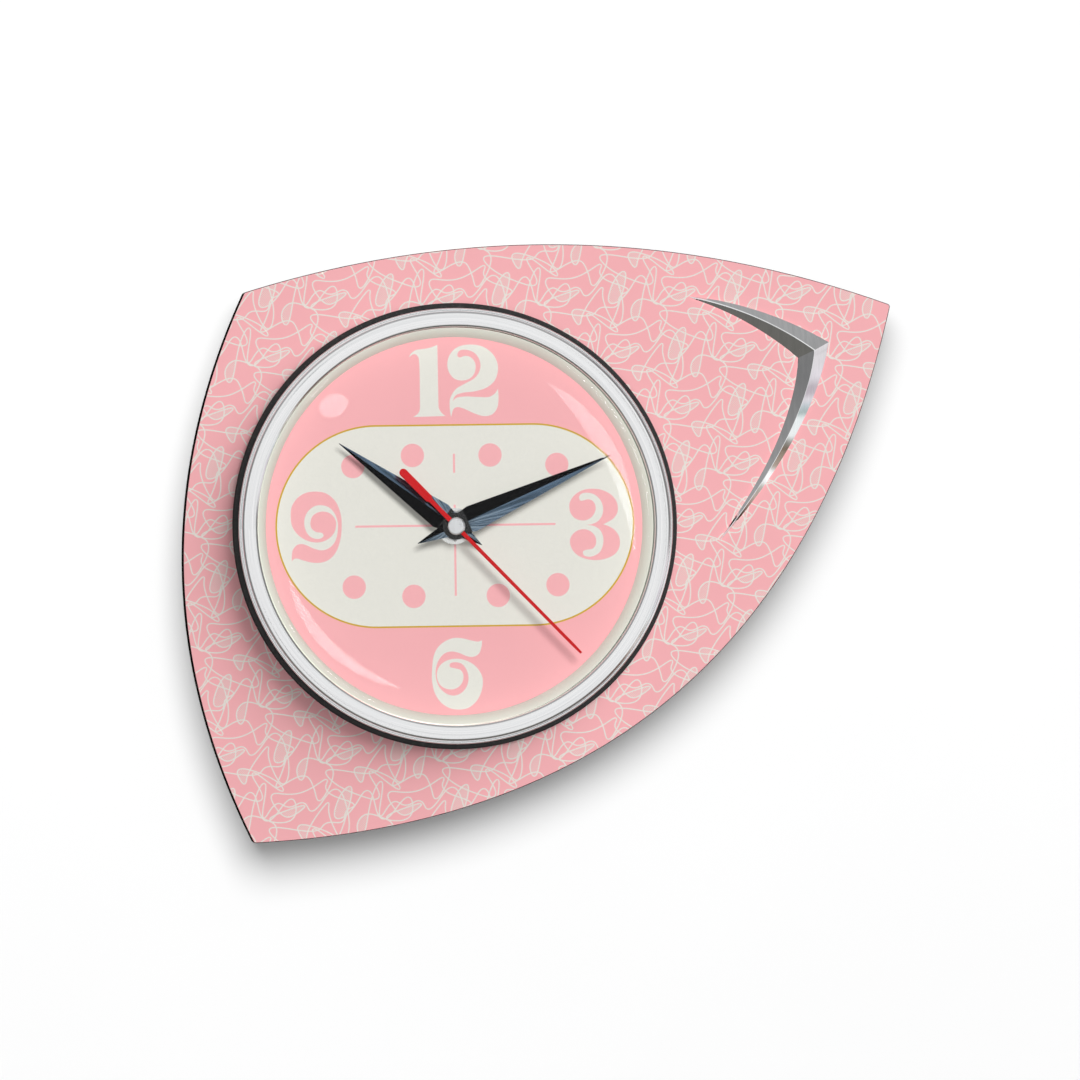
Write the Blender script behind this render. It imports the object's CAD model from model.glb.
# Boomerang-panel wall clock: detailed shells, printed graphics, chrome, glass and the studio.
# The clock hangs on the wall plane y = 0 with the hand axis through the origin.
# x points right, z up, and a depth d in front of the wall lies at y = -d.
# Shapes are given in millimetres as (x, z) outlines and depths; the scene is in metres.
import math
import random
from functools import cached_property

import bmesh
import bpy
import numpy as np
from mathutils import Matrix, Vector


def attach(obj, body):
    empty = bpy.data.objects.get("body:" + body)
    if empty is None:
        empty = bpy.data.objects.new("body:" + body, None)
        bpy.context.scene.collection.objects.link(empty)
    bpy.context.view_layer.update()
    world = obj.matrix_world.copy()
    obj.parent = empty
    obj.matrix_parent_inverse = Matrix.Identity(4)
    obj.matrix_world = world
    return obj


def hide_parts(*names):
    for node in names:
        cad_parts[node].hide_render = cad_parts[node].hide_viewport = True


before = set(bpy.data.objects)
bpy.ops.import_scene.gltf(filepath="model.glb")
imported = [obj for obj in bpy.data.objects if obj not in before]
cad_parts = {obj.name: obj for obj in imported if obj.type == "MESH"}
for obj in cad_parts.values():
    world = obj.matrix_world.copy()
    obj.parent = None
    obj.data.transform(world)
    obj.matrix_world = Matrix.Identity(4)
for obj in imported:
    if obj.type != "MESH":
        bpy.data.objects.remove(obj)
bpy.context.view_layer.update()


MM = 0.001
TAU = 2 * math.pi
BODY = "clock_body"
SCENE = bpy.context.scene


# =========================================================== node helpers ==
class NodeTree:
    """Short ways to add, set and link the nodes of one tree."""

    math_inputs = 3  # how many inputs of a Math node are set

    def __init__(self, tree):
        self.tree = tree
        tree.nodes.clear()

    def node(self, kind, inputs=None, **props):
        made = self.tree.nodes.new("ShaderNode" + kind)
        for key, value in props.items():
            setattr(made, key, value)
        for key, value in (inputs or {}).items():
            self.put(made.inputs[key], value)
        return made

    def put(self, socket, value):
        """Link a socket, or set a value; three numbers make an opaque colour."""
        if isinstance(value, bpy.types.NodeSocket):
            self.tree.links.new(value, socket)
        elif isinstance(value, (tuple, list)) and len(value) == 3 and socket.type == "RGBA":
            socket.default_value = (*value, 1.0)
        else:
            socket.default_value = value

    def math(self, operation, a, b=0.0, clamp=False):
        inputs = dict(enumerate((a, b, 0.0)[:self.math_inputs]))
        return self.node("Math", inputs, operation=operation, use_clamp=clamp).outputs[0]

    def map_range(self, value, to, span, kind="LINEAR"):
        """Carry the range span of value over to the range to."""
        inputs = {0: value, 1: span[0], 2: span[1], 3: to[0], 4: to[1]}
        return self.node("MapRange", inputs, interpolation_type=kind).outputs[0]

    def separate(self, vector):
        return self.node("SeparateXYZ", {0: vector}).outputs

    def scaled(self, vector, scale):
        """Vector times scale, which is one number or three."""
        if not isinstance(scale, tuple):
            scale = (scale, scale, scale)
        return self.node("Mapping", {0: vector, "Scale": scale}).outputs[0]

    def noise_at(self, vector, scale=1.0, detail=3.0, rough=0.5, distort=0.0):
        inputs = {"Vector": vector, "Scale": scale, "Detail": detail, "Roughness": rough,
                  "Distortion": distort}
        return self.node("TexNoise", inputs).outputs["Fac"]


class Material(NodeTree):
    """A material wired from procedural nodes; its last shader feeds the surface.

    Texture scales are cells per metre, and bump distances and edge radii are metres.
    """

    inputs = {"base": "Base Color", "rough": "Roughness", "metal": "Metallic",
              "normal": "Normal", "coat_rough": "Coat Roughness",
              "spec": "Specular IOR Level", "sheen": "Sheen Weight"}

    def __init__(self, name, shader="BsdfPrincipled"):
        self.material = bpy.data.materials.new(name)
        self.material.use_nodes = True
        super().__init__(self.material.node_tree)
        output = self.node("OutputMaterial")
        self.shader = self.node(shader)
        self.put(output.inputs["Surface"], self.shader.outputs[0])

    @cached_property
    def coords(self):
        return self.node("TexCoord").outputs["Object"]

    def set(self, **values):
        for key, value in values.items():
            self.put(self.shader.inputs[self.inputs[key]], value)

    def noise(self, scale, **settings):
        return self.noise_at(self.scaled(self.coords, scale), **settings)

    def voronoi(self, scale, feature="F1"):
        inputs = {"Vector": self.scaled(self.coords, scale), "Scale": 1.0}
        return self.node("TexVoronoi", inputs, feature=feature).outputs["Distance"]

    def ramp(self, factor, stops):
        """Colour ramp from (position, grey or colour) stops."""
        made = self.node("ValToRGB", {0: factor})
        elements = made.color_ramp.elements
        while len(elements) < len(stops):
            elements.new(0.5)
        for element, (position, colour) in zip(elements, stops):
            if not isinstance(colour, tuple):
                colour = (colour, colour, colour)
            element.position = position
            element.color = (*colour, 1.0)
        return made.outputs[0]

    def mix(self, factor, a, b):
        return self.node("Mix", {0: factor, 6: a, 7: b}, data_type="RGBA").outputs[2]

    def tone(self, factor, low, high, span=(0.35, 0.65), reach=1.0):
        """Go from colour low towards high, by at most reach, over the span of factor."""
        return self.mix(self.map_range(factor, to=(0, reach), span=span), low, high)

    def rough(self, noise, low, high):
        """Let a noise move the roughness between low and high."""
        self.set(rough=self.map_range(noise, to=(low, high), span=(0.3, 0.7)))

    def bump(self, height, strength, dist, edge=0.0):
        """Bump the normal, over edges softened to the radius edge."""
        inputs = {"Strength": strength, "Distance": dist, "Height": height}
        if edge:
            soft = self.node("Bevel", {"Radius": edge}, samples=4)
            inputs["Normal"] = soft.outputs[0]
        made = self.node("Bump", inputs)
        self.set(normal=made.outputs[0])
        return made

    def polar(self):
        """Radius and angle about the hand axis."""
        x, _, z = self.separate(self.coords)
        squares = self.math("ADD", self.math("MULTIPLY", x, x), self.math("MULTIPLY", z, z))
        return self.math("SQRT", squares), self.math("ARCTAN2", z, x)

    def polar_noise(self, x, y, detail):
        vector = self.node("CombineXYZ", {0: x, 1: y}).outputs[0]
        return self.noise_at(vector, detail=detail)


def lin(*rgb):
    """Display colour, 0 to 255, to linear."""
    shares = (v / 255.0 for v in rgb)
    return tuple(v / 12.92 if v <= 0.04045 else ((v + 0.055) / 1.055) ** 2.4 for v in shares)


def shade(rgb, factor):
    return tuple(min(1, c * factor) for c in rgb)


# =============================================================== finishes ==
PINK = lin(243, 176, 180)
CREAM = lin(228, 226, 218)
INK_COVER = 0.92     # strength of the cream ink on the laminate
SCREEN = 0.00056     # pitch of the halftone dots, metres
WINDING_PITCH = 0.00022


def paint(name, rgb, rough, vary=0.03, grain=0.12, spec=0.5):
    m = Material(name)
    m.set(base=m.tone(m.noise(60, detail=4), shade(rgb, 1 - vary), shade(rgb, 1 + vary)),
          coat_rough=0.12, spec=spec)
    m.rough(m.noise(900), low=rough - 0.06, high=rough + 0.06)
    m.bump(m.noise(2600, detail=2), strength=grain, dist=0.00003)
    return m.material


def metal(name, rgb, rough, streak, wear):
    """Metal with streaks drawn out along the smallest streak scale, and dull patches."""
    m = Material(name)
    streaks = m.noise(streak, detail=4, rough=0.6)
    haze = m.noise(140, detail=5, rough=0.65)
    colour = m.tone(streaks, shade(rgb, 1 - wear), shade(rgb, 1 + wear), span=(0.3, 0.7))
    colour = m.tone(haze, colour, shade(rgb, 0.72), span=(0.55, 0.8), reach=0.10)
    m.set(base=colour, metal=1.0)
    m.rough(haze, low=rough * 0.75, high=rough * 1.6)
    m.bump(streaks, strength=0.12, dist=0.00002, edge=0.00012)
    return m.material


def plastic(name, rgb, rough, cells, strength):
    m = Material(name)
    grain = m.voronoi(cells)
    m.set(base=m.tone(m.noise(90, detail=4), shade(rgb, 0.93), shade(rgb, 1.06)))
    m.rough(m.noise(600), low=rough - 0.05, high=rough + 0.07)
    m.bump(grain, strength=strength, dist=0.00004, edge=0.00018)
    return m.material


def laminate():
    """Pink sheet with a faint orange-peel surface over a finer grain."""
    m = Material("laminate_pink")
    m.set(base=m.tone(m.noise(22), shade(PINK, 0.985), shade(PINK, 1.015)), spec=0.35)
    fine = m.noise(4200, detail=2)
    orange = m.noise(700, detail=2)
    m.rough(orange, low=0.36, high=0.46)
    grain = m.bump(fine, strength=0.06, dist=0.00001)
    peel = m.bump(orange, strength=0.06, dist=0.00004)
    m.put(peel.inputs["Normal"], grain.outputs[0])
    return m.material


def ink(name, rgb):
    m = Material(name)
    grain = m.noise(1500)
    m.set(base=m.tone(grain, shade(rgb, 0.975), shade(rgb, 1.02), span=(0.3, 0.7)), spec=0.35)
    m.rough(m.noise(700, detail=2), low=0.38, high=0.48)
    m.bump(grain, strength=0.05, dist=0.00001)
    return m.material


def halftone():
    """Cream ink broken into a fine dot screen over the pink ground."""
    m = Material("laminate_halftone")
    turned = m.node("Mapping", {0: m.coords, "Rotation": (0, math.radians(45), 0)}).outputs[0]
    x, _, z = m.separate(m.scaled(turned, 1 / SCREEN))
    x = m.math("SUBTRACT", m.math("FRACT", x), 0.5)
    z = m.math("SUBTRACT", m.math("FRACT", z), 0.5)
    squares = m.math("ADD", m.math("MULTIPLY", x, x), m.math("MULTIPLY", z, z))
    dot = m.map_range(m.math("SQRT", squares), to=(1.0, 0.0), span=(0.26, 0.36))
    m.set(base=m.mix(dot, PINK, shade(CREAM, INK_COVER)), rough=0.42, spec=0.35)
    m.bump(m.noise(700, detail=2), strength=0.06, dist=0.00004)
    return m.material


def dial_pink():
    m = Material("dial_pink")
    m.set(base=m.tone(m.noise(30), shade(PINK, 0.99), shade(PINK, 1.01)), spec=0.25)
    m.rough(m.noise(1200, detail=2), low=0.44, high=0.54)
    m.bump(m.noise(2200, detail=2), strength=0.05, dist=0.00001)
    return m.material


def black_board():
    """Black-painted fibreboard: brush coat over fibres, brown showing at worn edges."""
    m = Material("board_black")
    fibre = m.noise((260, 90, 260), detail=6, rough=0.7)
    blotch = m.noise(45, detail=4)
    pointiness = m.node("NewGeometry").outputs["Pointiness"]
    edge = m.map_range(pointiness, to=(0, 1), span=(0.515, 0.56))
    patchy = m.map_range(m.noise(320, detail=4, rough=0.7), to=(0, 1), span=(0.5, 0.66))
    worn = m.math("MULTIPLY", edge, patchy, clamp=True)
    coat = m.tone(fibre, (0.010, 0.010, 0.011), (0.028, 0.026, 0.025), span=(0.35, 0.7))
    coat = m.tone(blotch, coat, (0.05, 0.045, 0.04), span=(0.5, 0.8), reach=0.35)
    m.set(base=m.mix(m.math("MULTIPLY", worn, 0.6), coat, (0.16, 0.10, 0.055)), spec=0.0)
    m.rough(fibre, low=0.7, high=0.9)
    m.bump(fibre, strength=0.35, dist=0.0001, edge=0.0003)
    return m.material


def rubber():
    m = Material("rubber_black")
    speck = m.noise(1900, detail=2)
    m.set(base=m.ramp(speck, [(0.0, 0.012), (0.62, 0.018), (0.74, 0.06)]), spec=0.4)
    m.rough(m.noise(500), low=0.42, high=0.6)
    m.bump(m.voronoi(2600), strength=0.35, dist=0.00008)
    return m.material


def spun_chrome():
    """Spun chrome: faint rings run round the band."""
    m = Material("chrome_spun")
    radius, angle = m.polar()
    rings = m.polar_noise(m.math("MULTIPLY", radius, 2600.0), m.math("MULTIPLY", angle, 0.7),
                          detail=4.0)
    m.set(base=m.tone(rings, (0.86, 0.87, 0.88), (0.97, 0.97, 0.975)), metal=1.0)
    m.rough(rings, low=0.10, high=0.22)
    m.bump(rings, strength=0.10, dist=0.00003)
    return m.material


def polished_chrome():
    """Polished chrome plate with a trace of polishing streaks."""
    m = Material("chrome_trim")
    streaks = m.noise((500, 40, 90), detail=4, rough=0.6)
    m.set(base=m.tone(streaks, (0.80, 0.81, 0.82), (0.93, 0.93, 0.94), span=(0.3, 0.7)),
          metal=1.0)
    m.rough(m.noise(160), low=0.03, high=0.07)
    m.bump(streaks, strength=0.03, dist=0.00002)
    return m.material


def hand_lacquer():
    """Black lacquer whose right-hand facets turn slate with pale streaks."""
    m = Material("hand_lacquer")
    normal = m.separate(m.node("NewGeometry").outputs["Normal"])
    lit = m.map_range(normal[0], to=(0.0, 1.0), span=(0.015, 0.05))
    radius, angle = m.polar()
    streak = m.polar_noise(m.math("MULTIPLY", angle, 26.0), m.math("MULTIPLY", radius, 28.0),
                           detail=2.5)
    hub = m.map_range(radius, to=(1.0, 0.0), span=(0.004, 0.030))
    slate = m.tone(streak, (0.045, 0.070, 0.095), (0.15, 0.225, 0.33), span=(0.36, 0.60))
    pale = m.math("MULTIPLY", hub, m.map_range(streak, to=(0, 1), span=(0.45, 0.62)))
    slate = m.mix(pale, slate, (0.33, 0.40, 0.46))
    m.set(base=m.mix(lit, (0.003, 0.003, 0.0035), slate), metal=m.math("MULTIPLY", lit, 0.85),
          spec=0.06)
    m.rough(streak, low=0.16, high=0.30)
    m.bump(m.noise(900), strength=0.05, dist=0.00002)
    return m.material


def clear_glass():
    """Thin clear dome: a Fresnel reflection over a straight view through."""
    m = Material("lens_glass", shader="MixShader")
    clear = m.node("BsdfTransparent", {0: (0.992, 0.997, 0.995)})
    gloss = m.node("BsdfGlossy", {"Roughness": 0.015})
    fresnel = m.node("Fresnel", {"IOR": 1.42})
    dust = m.map_range(m.noise(240, detail=5, rough=0.7), to=(0.0, 0.012), span=(0.55, 0.8))
    path = m.node("LightPath")
    share = m.math("MULTIPLY", m.math("ADD", fresnel.outputs[0], dust), 0.13)
    for ray in ("Is Shadow Ray", "Is Diffuse Ray"):
        other = m.math("SUBTRACT", 1.0, path.outputs[ray])
        share = m.math("MULTIPLY", share, other, clamp=True)
    for index, value in enumerate((share, clear.outputs[0], gloss.outputs[0])):
        m.put(m.shader.inputs[index], value)
    return m.material


def timber():
    m = Material("timber")
    ring = m.noise((40, 900, 1200), detail=4, rough=0.6, distort=0.6)
    pore = m.noise((120, 4000, 4000))
    m.set(base=m.ramp(ring, [(0.3, (0.30, 0.18, 0.09)), (0.5, (0.52, 0.34, 0.18)),
                             (0.72, (0.62, 0.44, 0.26))]))
    m.rough(pore, low=0.55, high=0.8)
    m.bump(pore, strength=0.3, dist=0.0001, edge=0.0004)
    return m.material


def felt():
    m = Material("felt_black")
    fibre = m.noise(3000, detail=6, rough=0.8)
    m.set(base=m.ramp(fibre, [(0.3, 0.012), (0.7, 0.06)]), rough=0.95, sheen=0.4)
    m.bump(fibre, strength=0.9, dist=0.0003)
    return m.material


def copper_winding():
    m = Material("winding")
    x = m.separate(m.coords)[0]
    turns = m.math("SINE", m.math("MULTIPLY", x, TAU / WINDING_PITCH))
    m.set(base=m.tone(turns, (0.30, 0.10, 0.04), (0.80, 0.36, 0.16), span=(-1, 1)),
          metal=0.8, rough=0.3)
    m.bump(turns, strength=0.7, dist=0.0001)
    return m.material


def circuit_mask():
    m = Material("circuit_mask")
    track = m.voronoi((900, 900, 500), "DISTANCE_TO_EDGE")
    m.set(base=m.ramp(track, [(0.0, (0.10, 0.42, 0.20)), (0.06, (0.03, 0.20, 0.08))]),
          rough=0.35)
    m.bump(track, strength=0.2, dist=0.00005, edge=0.0001)
    return m.material


def cell_sleeve():
    """Printed sleeve: black body, copper-coloured shoulder, pale line, bare steel ends."""
    m = Material("cell_sleeve")
    x = m.separate(m.coords)[0]
    shoulder = m.math("GREATER_THAN", m.math("MULTIPLY", x, -1.0), 0.0125)
    ends = m.math("GREATER_THAN", m.math("ABSOLUTE", m.math("ADD", x, -0.0003)), 0.0238)
    line = m.math("LESS_THAN", m.math("ABSOLUTE", m.math("ADD", x, 0.0118)), 0.0003)
    colour = m.mix(shoulder, (0.015, 0.015, 0.017), (0.55, 0.27, 0.12))
    colour = m.mix(line, colour, (0.8, 0.8, 0.78))
    colour = m.mix(ends, colour, (0.72, 0.72, 0.72))
    m.set(base=m.tone(m.noise(300, detail=4), colour, (0.3, 0.3, 0.3), span=(0.45, 0.8),
                      reach=0.25),
          metal=m.math("MAXIMUM", m.math("MULTIPLY", shoulder, 0.7), ends))
    m.rough(m.noise(700), low=0.22, high=0.36)
    m.bump(m.noise(1500, detail=2), strength=0.05, dist=0.00002)
    return m.material


LINE_INK = tuple(INK_COVER * c + 0.08 * p for c, p in zip(CREAM, PINK))
FINISH = {
    "laminate": laminate(),
    "cream": ink("print_cream", CREAM),
    "pinkink": ink("print_pink", lin(243, 177, 181)),
    "gold": ink("print_gold", lin(201, 164, 56)),
    "halftone": halftone(),
    "line": ink("laminate_line", LINE_INK),
    "core": paint("laminate_core", (0.030, 0.024, 0.022), rough=0.8, vary=0.04, grain=0.1,
                  spec=0.05),
    "dial": dial_pink(),
    "board": black_board(),
    "rubber": rubber(),
    "bezel": spun_chrome(),
    "trim": polished_chrome(),
    "hand": hand_lacquer(),
    "glass": clear_glass(),
    "greige": paint("ring_greige", lin(216, 219, 208), rough=0.8, vary=0.015, spec=0.05),
    "red": paint("hand_red", lin(202, 36, 40), rough=0.45, grain=0.05, spec=0.12),
    "boss": paint("boss_black", (0.004, 0.004, 0.0045), rough=0.3, vary=0.1, grain=0.05),
    "cap": metal("cap_silver", (0.80, 0.80, 0.82), rough=0.20, streak=(1400, 30, 30),
                 wear=0.06),
    "nickel": metal("nickel", (0.83, 0.83, 0.82), rough=0.2, streak=(30, 900, 30), wear=0.05),
    "steel": metal("zinc_steel", (0.58, 0.59, 0.60), rough=0.28, streak=(500, 40, 40),
                   wear=0.10),
    "brass": metal("turned_brass", (0.78, 0.58, 0.26), rough=0.22, streak=(60, 1500, 60),
                   wear=0.08),
    "magnet": metal("magnet_ferrite", (0.16, 0.16, 0.17), rough=0.5, streak=(300, 300, 300),
                    wear=0.2),
    "shell": plastic("shell_black", (0.018, 0.018, 0.020), rough=0.5, cells=3000,
                     strength=0.35),
    "white": plastic("moulded_white", (0.78, 0.78, 0.74), rough=0.36, cells=1800,
                     strength=0.12),
    "natural": plastic("acetal_natural", (0.80, 0.79, 0.72), rough=0.34, cells=1200,
                       strength=0.08),
    "timber": timber(),
    "felt": felt(),
    "winding": copper_winding(),
    "circuit": circuit_mask(),
    "cell": cell_sleeve(),
}

# =========================================================== mesh helpers ==
CUT, JOIN, KEEP_COMMON = "DIFFERENCE", "UNION", "INTERSECT"


def point(x, z, d):
    return Vector((x * MM, -d * MM, z * MM))


def add(name, shape, finish, slot, stands=None, body=BODY, smooth=30.0, bevel=None):
    """Make an object of a bmesh or mesh; stands names the frame part it replaces."""
    if isinstance(shape, bmesh.types.BMesh):
        mesh = to_mesh(shape, name)
    else:
        mesh = shape
        mesh.name = name
    mesh.materials.clear()
    mesh.materials.append(FINISH[finish])
    if smooth is not None:
        mesh.shade_smooth()
        mesh.set_sharp_from_angle(angle=math.radians(smooth))
    ob = bpy.data.objects.new(name, mesh)
    SCENE.collection.objects.link(ob)
    if bevel:
        edge = ob.modifiers.new("edge", "BEVEL")
        edge.width = bevel * MM
        edge.segments = 2
        edge.limit_method = "ANGLE"
        edge.angle_limit = math.radians(40)
        edge.harden_normals = False
        ob.modifiers.new("even", "WEIGHTED_NORMAL").keep_sharp = True
    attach(ob, body)
    if stands:
        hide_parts(stands)
    return ob


def to_mesh(bm, name):
    """Mesh of a bmesh with its normals turned outwards; the bmesh is freed."""
    bmesh.ops.recalc_face_normals(bm, faces=bm.faces)
    mesh = bpy.data.meshes.new(name)
    bm.to_mesh(mesh)
    bm.free()
    return mesh


def combine(base, steps):
    """Mesh made from a base solid and a list of (operation, solid) steps."""
    ob = bpy.data.objects.new("base", to_mesh(base, "base"))
    SCENE.collection.objects.link(ob)
    for operation, solid in steps:
        tool = bpy.data.objects.new("tool", to_mesh(solid, "tool"))
        SCENE.collection.objects.link(tool)
        modifier = ob.modifiers.new("bool", "BOOLEAN")
        modifier.operation = operation
        modifier.object = tool
        modifier.solver = "EXACT"
        bpy.context.view_layer.update()
        evaluated = ob.evaluated_get(bpy.context.evaluated_depsgraph_get())
        result = bpy.data.meshes.new_from_object(evaluated)
        ob.modifiers.clear()
        ob.data = result
        bpy.data.objects.remove(tool, do_unlink=True)
    mesh = ob.data.copy()
    bpy.data.objects.remove(ob, do_unlink=True)
    return mesh


def gathered(meshes):
    """One bmesh holding every mesh as a separate shell."""
    bm = bmesh.new()
    for mesh in meshes:
        bm.from_mesh(mesh)
        bpy.data.meshes.remove(mesh)
    return bm


def neighbours(items):
    """Each item of a closed loop with the one after it."""
    return zip(items, items[1:] + items[:1])


def wire(bm, places):
    """Closed wire through the places, as its vertices and edges."""
    verts = [bm.verts.new(place) for place in places]
    return verts, [bm.edges.new(pair) for pair in neighbours(verts)]


def fill(bm, edges):
    bmesh.ops.triangle_fill(bm, use_beauty=True, use_dissolve=False, edges=edges)


def skin(bm, rings):
    """Quads between each ring of vertices and the next."""
    for ring, following in zip(rings, rings[1:]):
        for (a, b), (c, d) in zip(neighbours(ring), neighbours(following)):
            bm.faces.new((a, b, d, c))


def loft(sections):
    """Solid through sections of places, capped at both ends."""
    bm = bmesh.new()
    rings = [[bm.verts.new(place) for place in section] for section in sections]
    skin(bm, rings)
    bm.faces.new(rings[0])
    bm.faces.new(rings[-1][::-1])
    return bm


def circle(radius, count, x=0.0, z=0.0, phase=0.0):
    return [(x + radius * math.cos(phase + TAU * i / count),
             z + radius * math.sin(phase + TAU * i / count)) for i in range(count)]


def box_loop(x0, x1, z0, z1, radius=0.0):
    """Rectangle with each corner rounded in six steps."""
    if radius <= 0:
        return [(x0, z0), (x1, z0), (x1, z1), (x0, z1)]
    out = []
    for x, z, start in ((x1 - radius, z0 + radius, -90), (x1 - radius, z1 - radius, 0),
                        (x0 + radius, z1 - radius, 90), (x0 + radius, z0 + radius, 180)):
        for i in range(7):
            angle = math.radians(start + 90 * i / 6)
            out.append((x + radius * math.cos(angle), z + radius * math.sin(angle)))
    return out


def prism(outer, d0, d1, holes=()):
    """Outline with holes, drawn out from depth d0 to d1."""
    bm = bmesh.new()
    edges = []
    for loop in [outer, *holes]:
        edges += wire(bm, [point(x, z, d0) for x, z in loop])[1]
    fill(bm, edges)
    made = bmesh.ops.extrude_face_region(bm, geom=list(bm.faces))["geom"]
    bmesh.ops.translate(bm, vec=point(0, 0, d1) - point(0, 0, d0),
                        verts=[g for g in made if isinstance(g, bmesh.types.BMVert)])
    bmesh.ops.remove_doubles(bm, verts=bm.verts, dist=1e-8)
    return bm


def box(x0, x1, z0, z1, d0, d1, radius=0.0):
    return prism(box_loop(x0, x1, z0, z1, radius), d0, d1)


def fillet(corner, before, after, radius, longest, steps):
    """Arc for a corner, given the directions to its neighbours; longest limits its run."""
    before, after = before.normalized(), after.normalized()
    half = before.angle(after) / 2
    run = min(radius / math.tan(half), longest)
    radius = run * math.tan(half)
    centre = corner + (before + after).normalized() * (radius / math.sin(half))
    start, end = corner + before * run, corner + after * run
    a0 = math.atan2(start.y - centre.y, start.x - centre.x)
    a1 = math.atan2(end.y - centre.y, end.x - centre.x)
    sweep = (a1 - a0 + math.pi) % TAU - math.pi
    return [(centre.x + radius * math.cos(a0 + sweep * i / steps),
             centre.y + radius * math.sin(a0 + sweep * i / steps)) for i in range(steps + 1)]


def rounded(points, radii, steps=5):
    """Closed (radius, depth) loop with each corner filleted by its own radius."""
    if not isinstance(radii, list):
        radii = [radii] * len(points)
    out = []
    for i, radius in enumerate(radii):
        corner = Vector(points[i])
        if radius <= 0:
            out.append(tuple(corner))
            continue
        before = Vector(points[i - 1]) - corner
        after = Vector(points[(i + 1) % len(points)]) - corner
        longest = min(before.length, after.length) * 0.48
        out += fillet(corner, before, after, radius, longest, steps)
    return out


def revolve(profile, segments, place):
    """Spin a closed (radius, along) loop; zero radius closes on the axis.

    place(radius, along, angle) gives the point in space.
    """
    bm = bmesh.new()
    rings = []
    for radius, along in profile:
        count = 1 if radius <= 1e-9 else segments
        rings.append([bm.verts.new(place(radius, along, TAU * i / segments))
                      for i in range(count)])
    for a, b in neighbours(rings):
        if len(a) == 1 and len(b) == 1:
            continue
        for i in range(segments):
            j = (i + 1) % segments
            if len(a) == 1:
                bm.faces.new((a[0], b[j], b[i]))
            elif len(b) == 1:
                bm.faces.new((a[i], a[j], b[0]))
            else:
                bm.faces.new((a[i], a[j], b[j], b[i]))
    return bm


def lathe(profile, segments, x=0.0, z=0.0):
    """Turn a (radius, depth) loop round the depth axis through x, z."""
    return revolve(profile, segments, lambda radius, depth, angle: point(
        x + radius * math.cos(angle), z + radius * math.sin(angle), depth))


def lathe_x(profile, segments, z, d):
    """Turn an (x, radius) loop round an axis parallel to X."""
    return revolve([(radius, x) for x, radius in profile], segments,
                   lambda radius, x, angle: point(x, z + radius * math.sin(angle),
                                                  d + radius * math.cos(angle)))


def pitches(start, stop, pitch):
    """Places from start, one pitch apart, below stop."""
    while start < stop:
        yield start
        start += pitch


# ================================================================== panel ==
TOP_LEFT, RIGHT, BOTTOM_LEFT = (-74.6, 84.7), (158.9, 77.7), (-73.8, -112.6)
# corner, next corner, bow of the edge between them (negative swells outwards)
PANEL_EDGES = [(RIGHT, TOP_LEFT, -19.5), (TOP_LEFT, BOTTOM_LEFT, -23.6),
               (BOTTOM_LEFT, RIGHT, -57.2)]
EDGE_STEPS = 110
PANEL_CORNER_R, LONGEST_CORNER_RUN = 1.1, 1.5
PANEL_HOLE_R = 74.0
FACE = 21.5          # depth of the laminate's front
CLIP_ANGLES = (52.0, 135.0, 225.0, 305.0)
CLIP_SCREW_R = 80.5  # distance of the clip screws from the hand axis
CLIP_POS = [(CLIP_SCREW_R * math.cos(math.radians(a)), CLIP_SCREW_R * math.sin(math.radians(a)))
            for a in CLIP_ANGLES]
STUD_POS = [(109.2, 73.6), (119.9, 29.3)]
HANGER_X, HANGER_Z0, HANGER_Z1 = 8.0, 80.5, 96.5
HANGER_SCREWS = [(HANGER_X + side * 14.0, (HANGER_Z0 + HANGER_Z1) / 2) for side in (-1, 1)]


def bowed_edge(start, end, bow):
    """Parabola from start to end, standing off the chord by bow at its middle."""
    dx, dz = end[0] - start[0], end[1] - start[1]
    length = math.hypot(dx, dz)
    nx, nz = -dz / length, dx / length
    return [((1 - t) * start[0] + t * end[0] + nx * bow * 4 * t * (1 - t),
             (1 - t) * start[1] + t * end[1] + nz * bow * 4 * t * (1 - t))
            for t in (i / EDGE_STEPS for i in range(EDGE_STEPS + 1))]


def panel_outline():
    edges = [bowed_edge(*edge) for edge in PANEL_EDGES]
    out = []
    for edge, following in neighbours(edges):
        corner = Vector(edge[-1])
        out += edge[1:-1]
        out += fillet(corner, Vector(edge[-2]) - corner, Vector(following[1]) - corner,
                      PANEL_CORNER_R, LONGEST_CORNER_RUN, steps=6)
    # drop points that the corner rounding overran
    keep = [out[0]]
    for p in out[1:]:
        if (Vector(p) - Vector(keep[-1])).length > 0.05:
            keep.append(p)
    return keep


OUTLINE = panel_outline()


def inward_normals():
    out = []
    for i in range(len(OUTLINE)):
        before, after = Vector(OUTLINE[i - 1]), Vector(OUTLINE[(i + 1) % len(OUTLINE)])
        along = (after - before).normalized()
        out.append((-along.y, along.x))
    return out


def eased_panel(back, front, ease, holes=()):
    """Panel slab whose outer edge is eased front and back."""
    stations = [(back, ease), (back + ease * 0.3, ease * 0.3), (back + ease, 0.0),
                (front - ease, 0.0), (front - ease * 0.3, ease * 0.3), (front, ease)]
    normals = inward_normals()
    bm = bmesh.new()
    rings = [[bm.verts.new(point(x + nx * inset, z + nz * inset, d))
              for (x, z), (nx, nz) in zip(OUTLINE, normals)] for d, inset in stations]
    skin(bm, rings)
    rims = []
    for ring, d in ((rings[0], back), (rings[-1], front)):
        edges = [bm.edges.get(pair) for pair in neighbours(ring)]
        wires = [wire(bm, [point(x, z, d) for x, z in hole])
                 for hole in [circle(PANEL_HOLE_R, 192), *holes]]
        for _, hole_edges in wires:
            edges += hole_edges
        fill(bm, edges)
        rims.append([verts for verts, _ in wires])
    for hole_rims in zip(*rims):
        skin(bm, hole_rims)
    return bm


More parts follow.
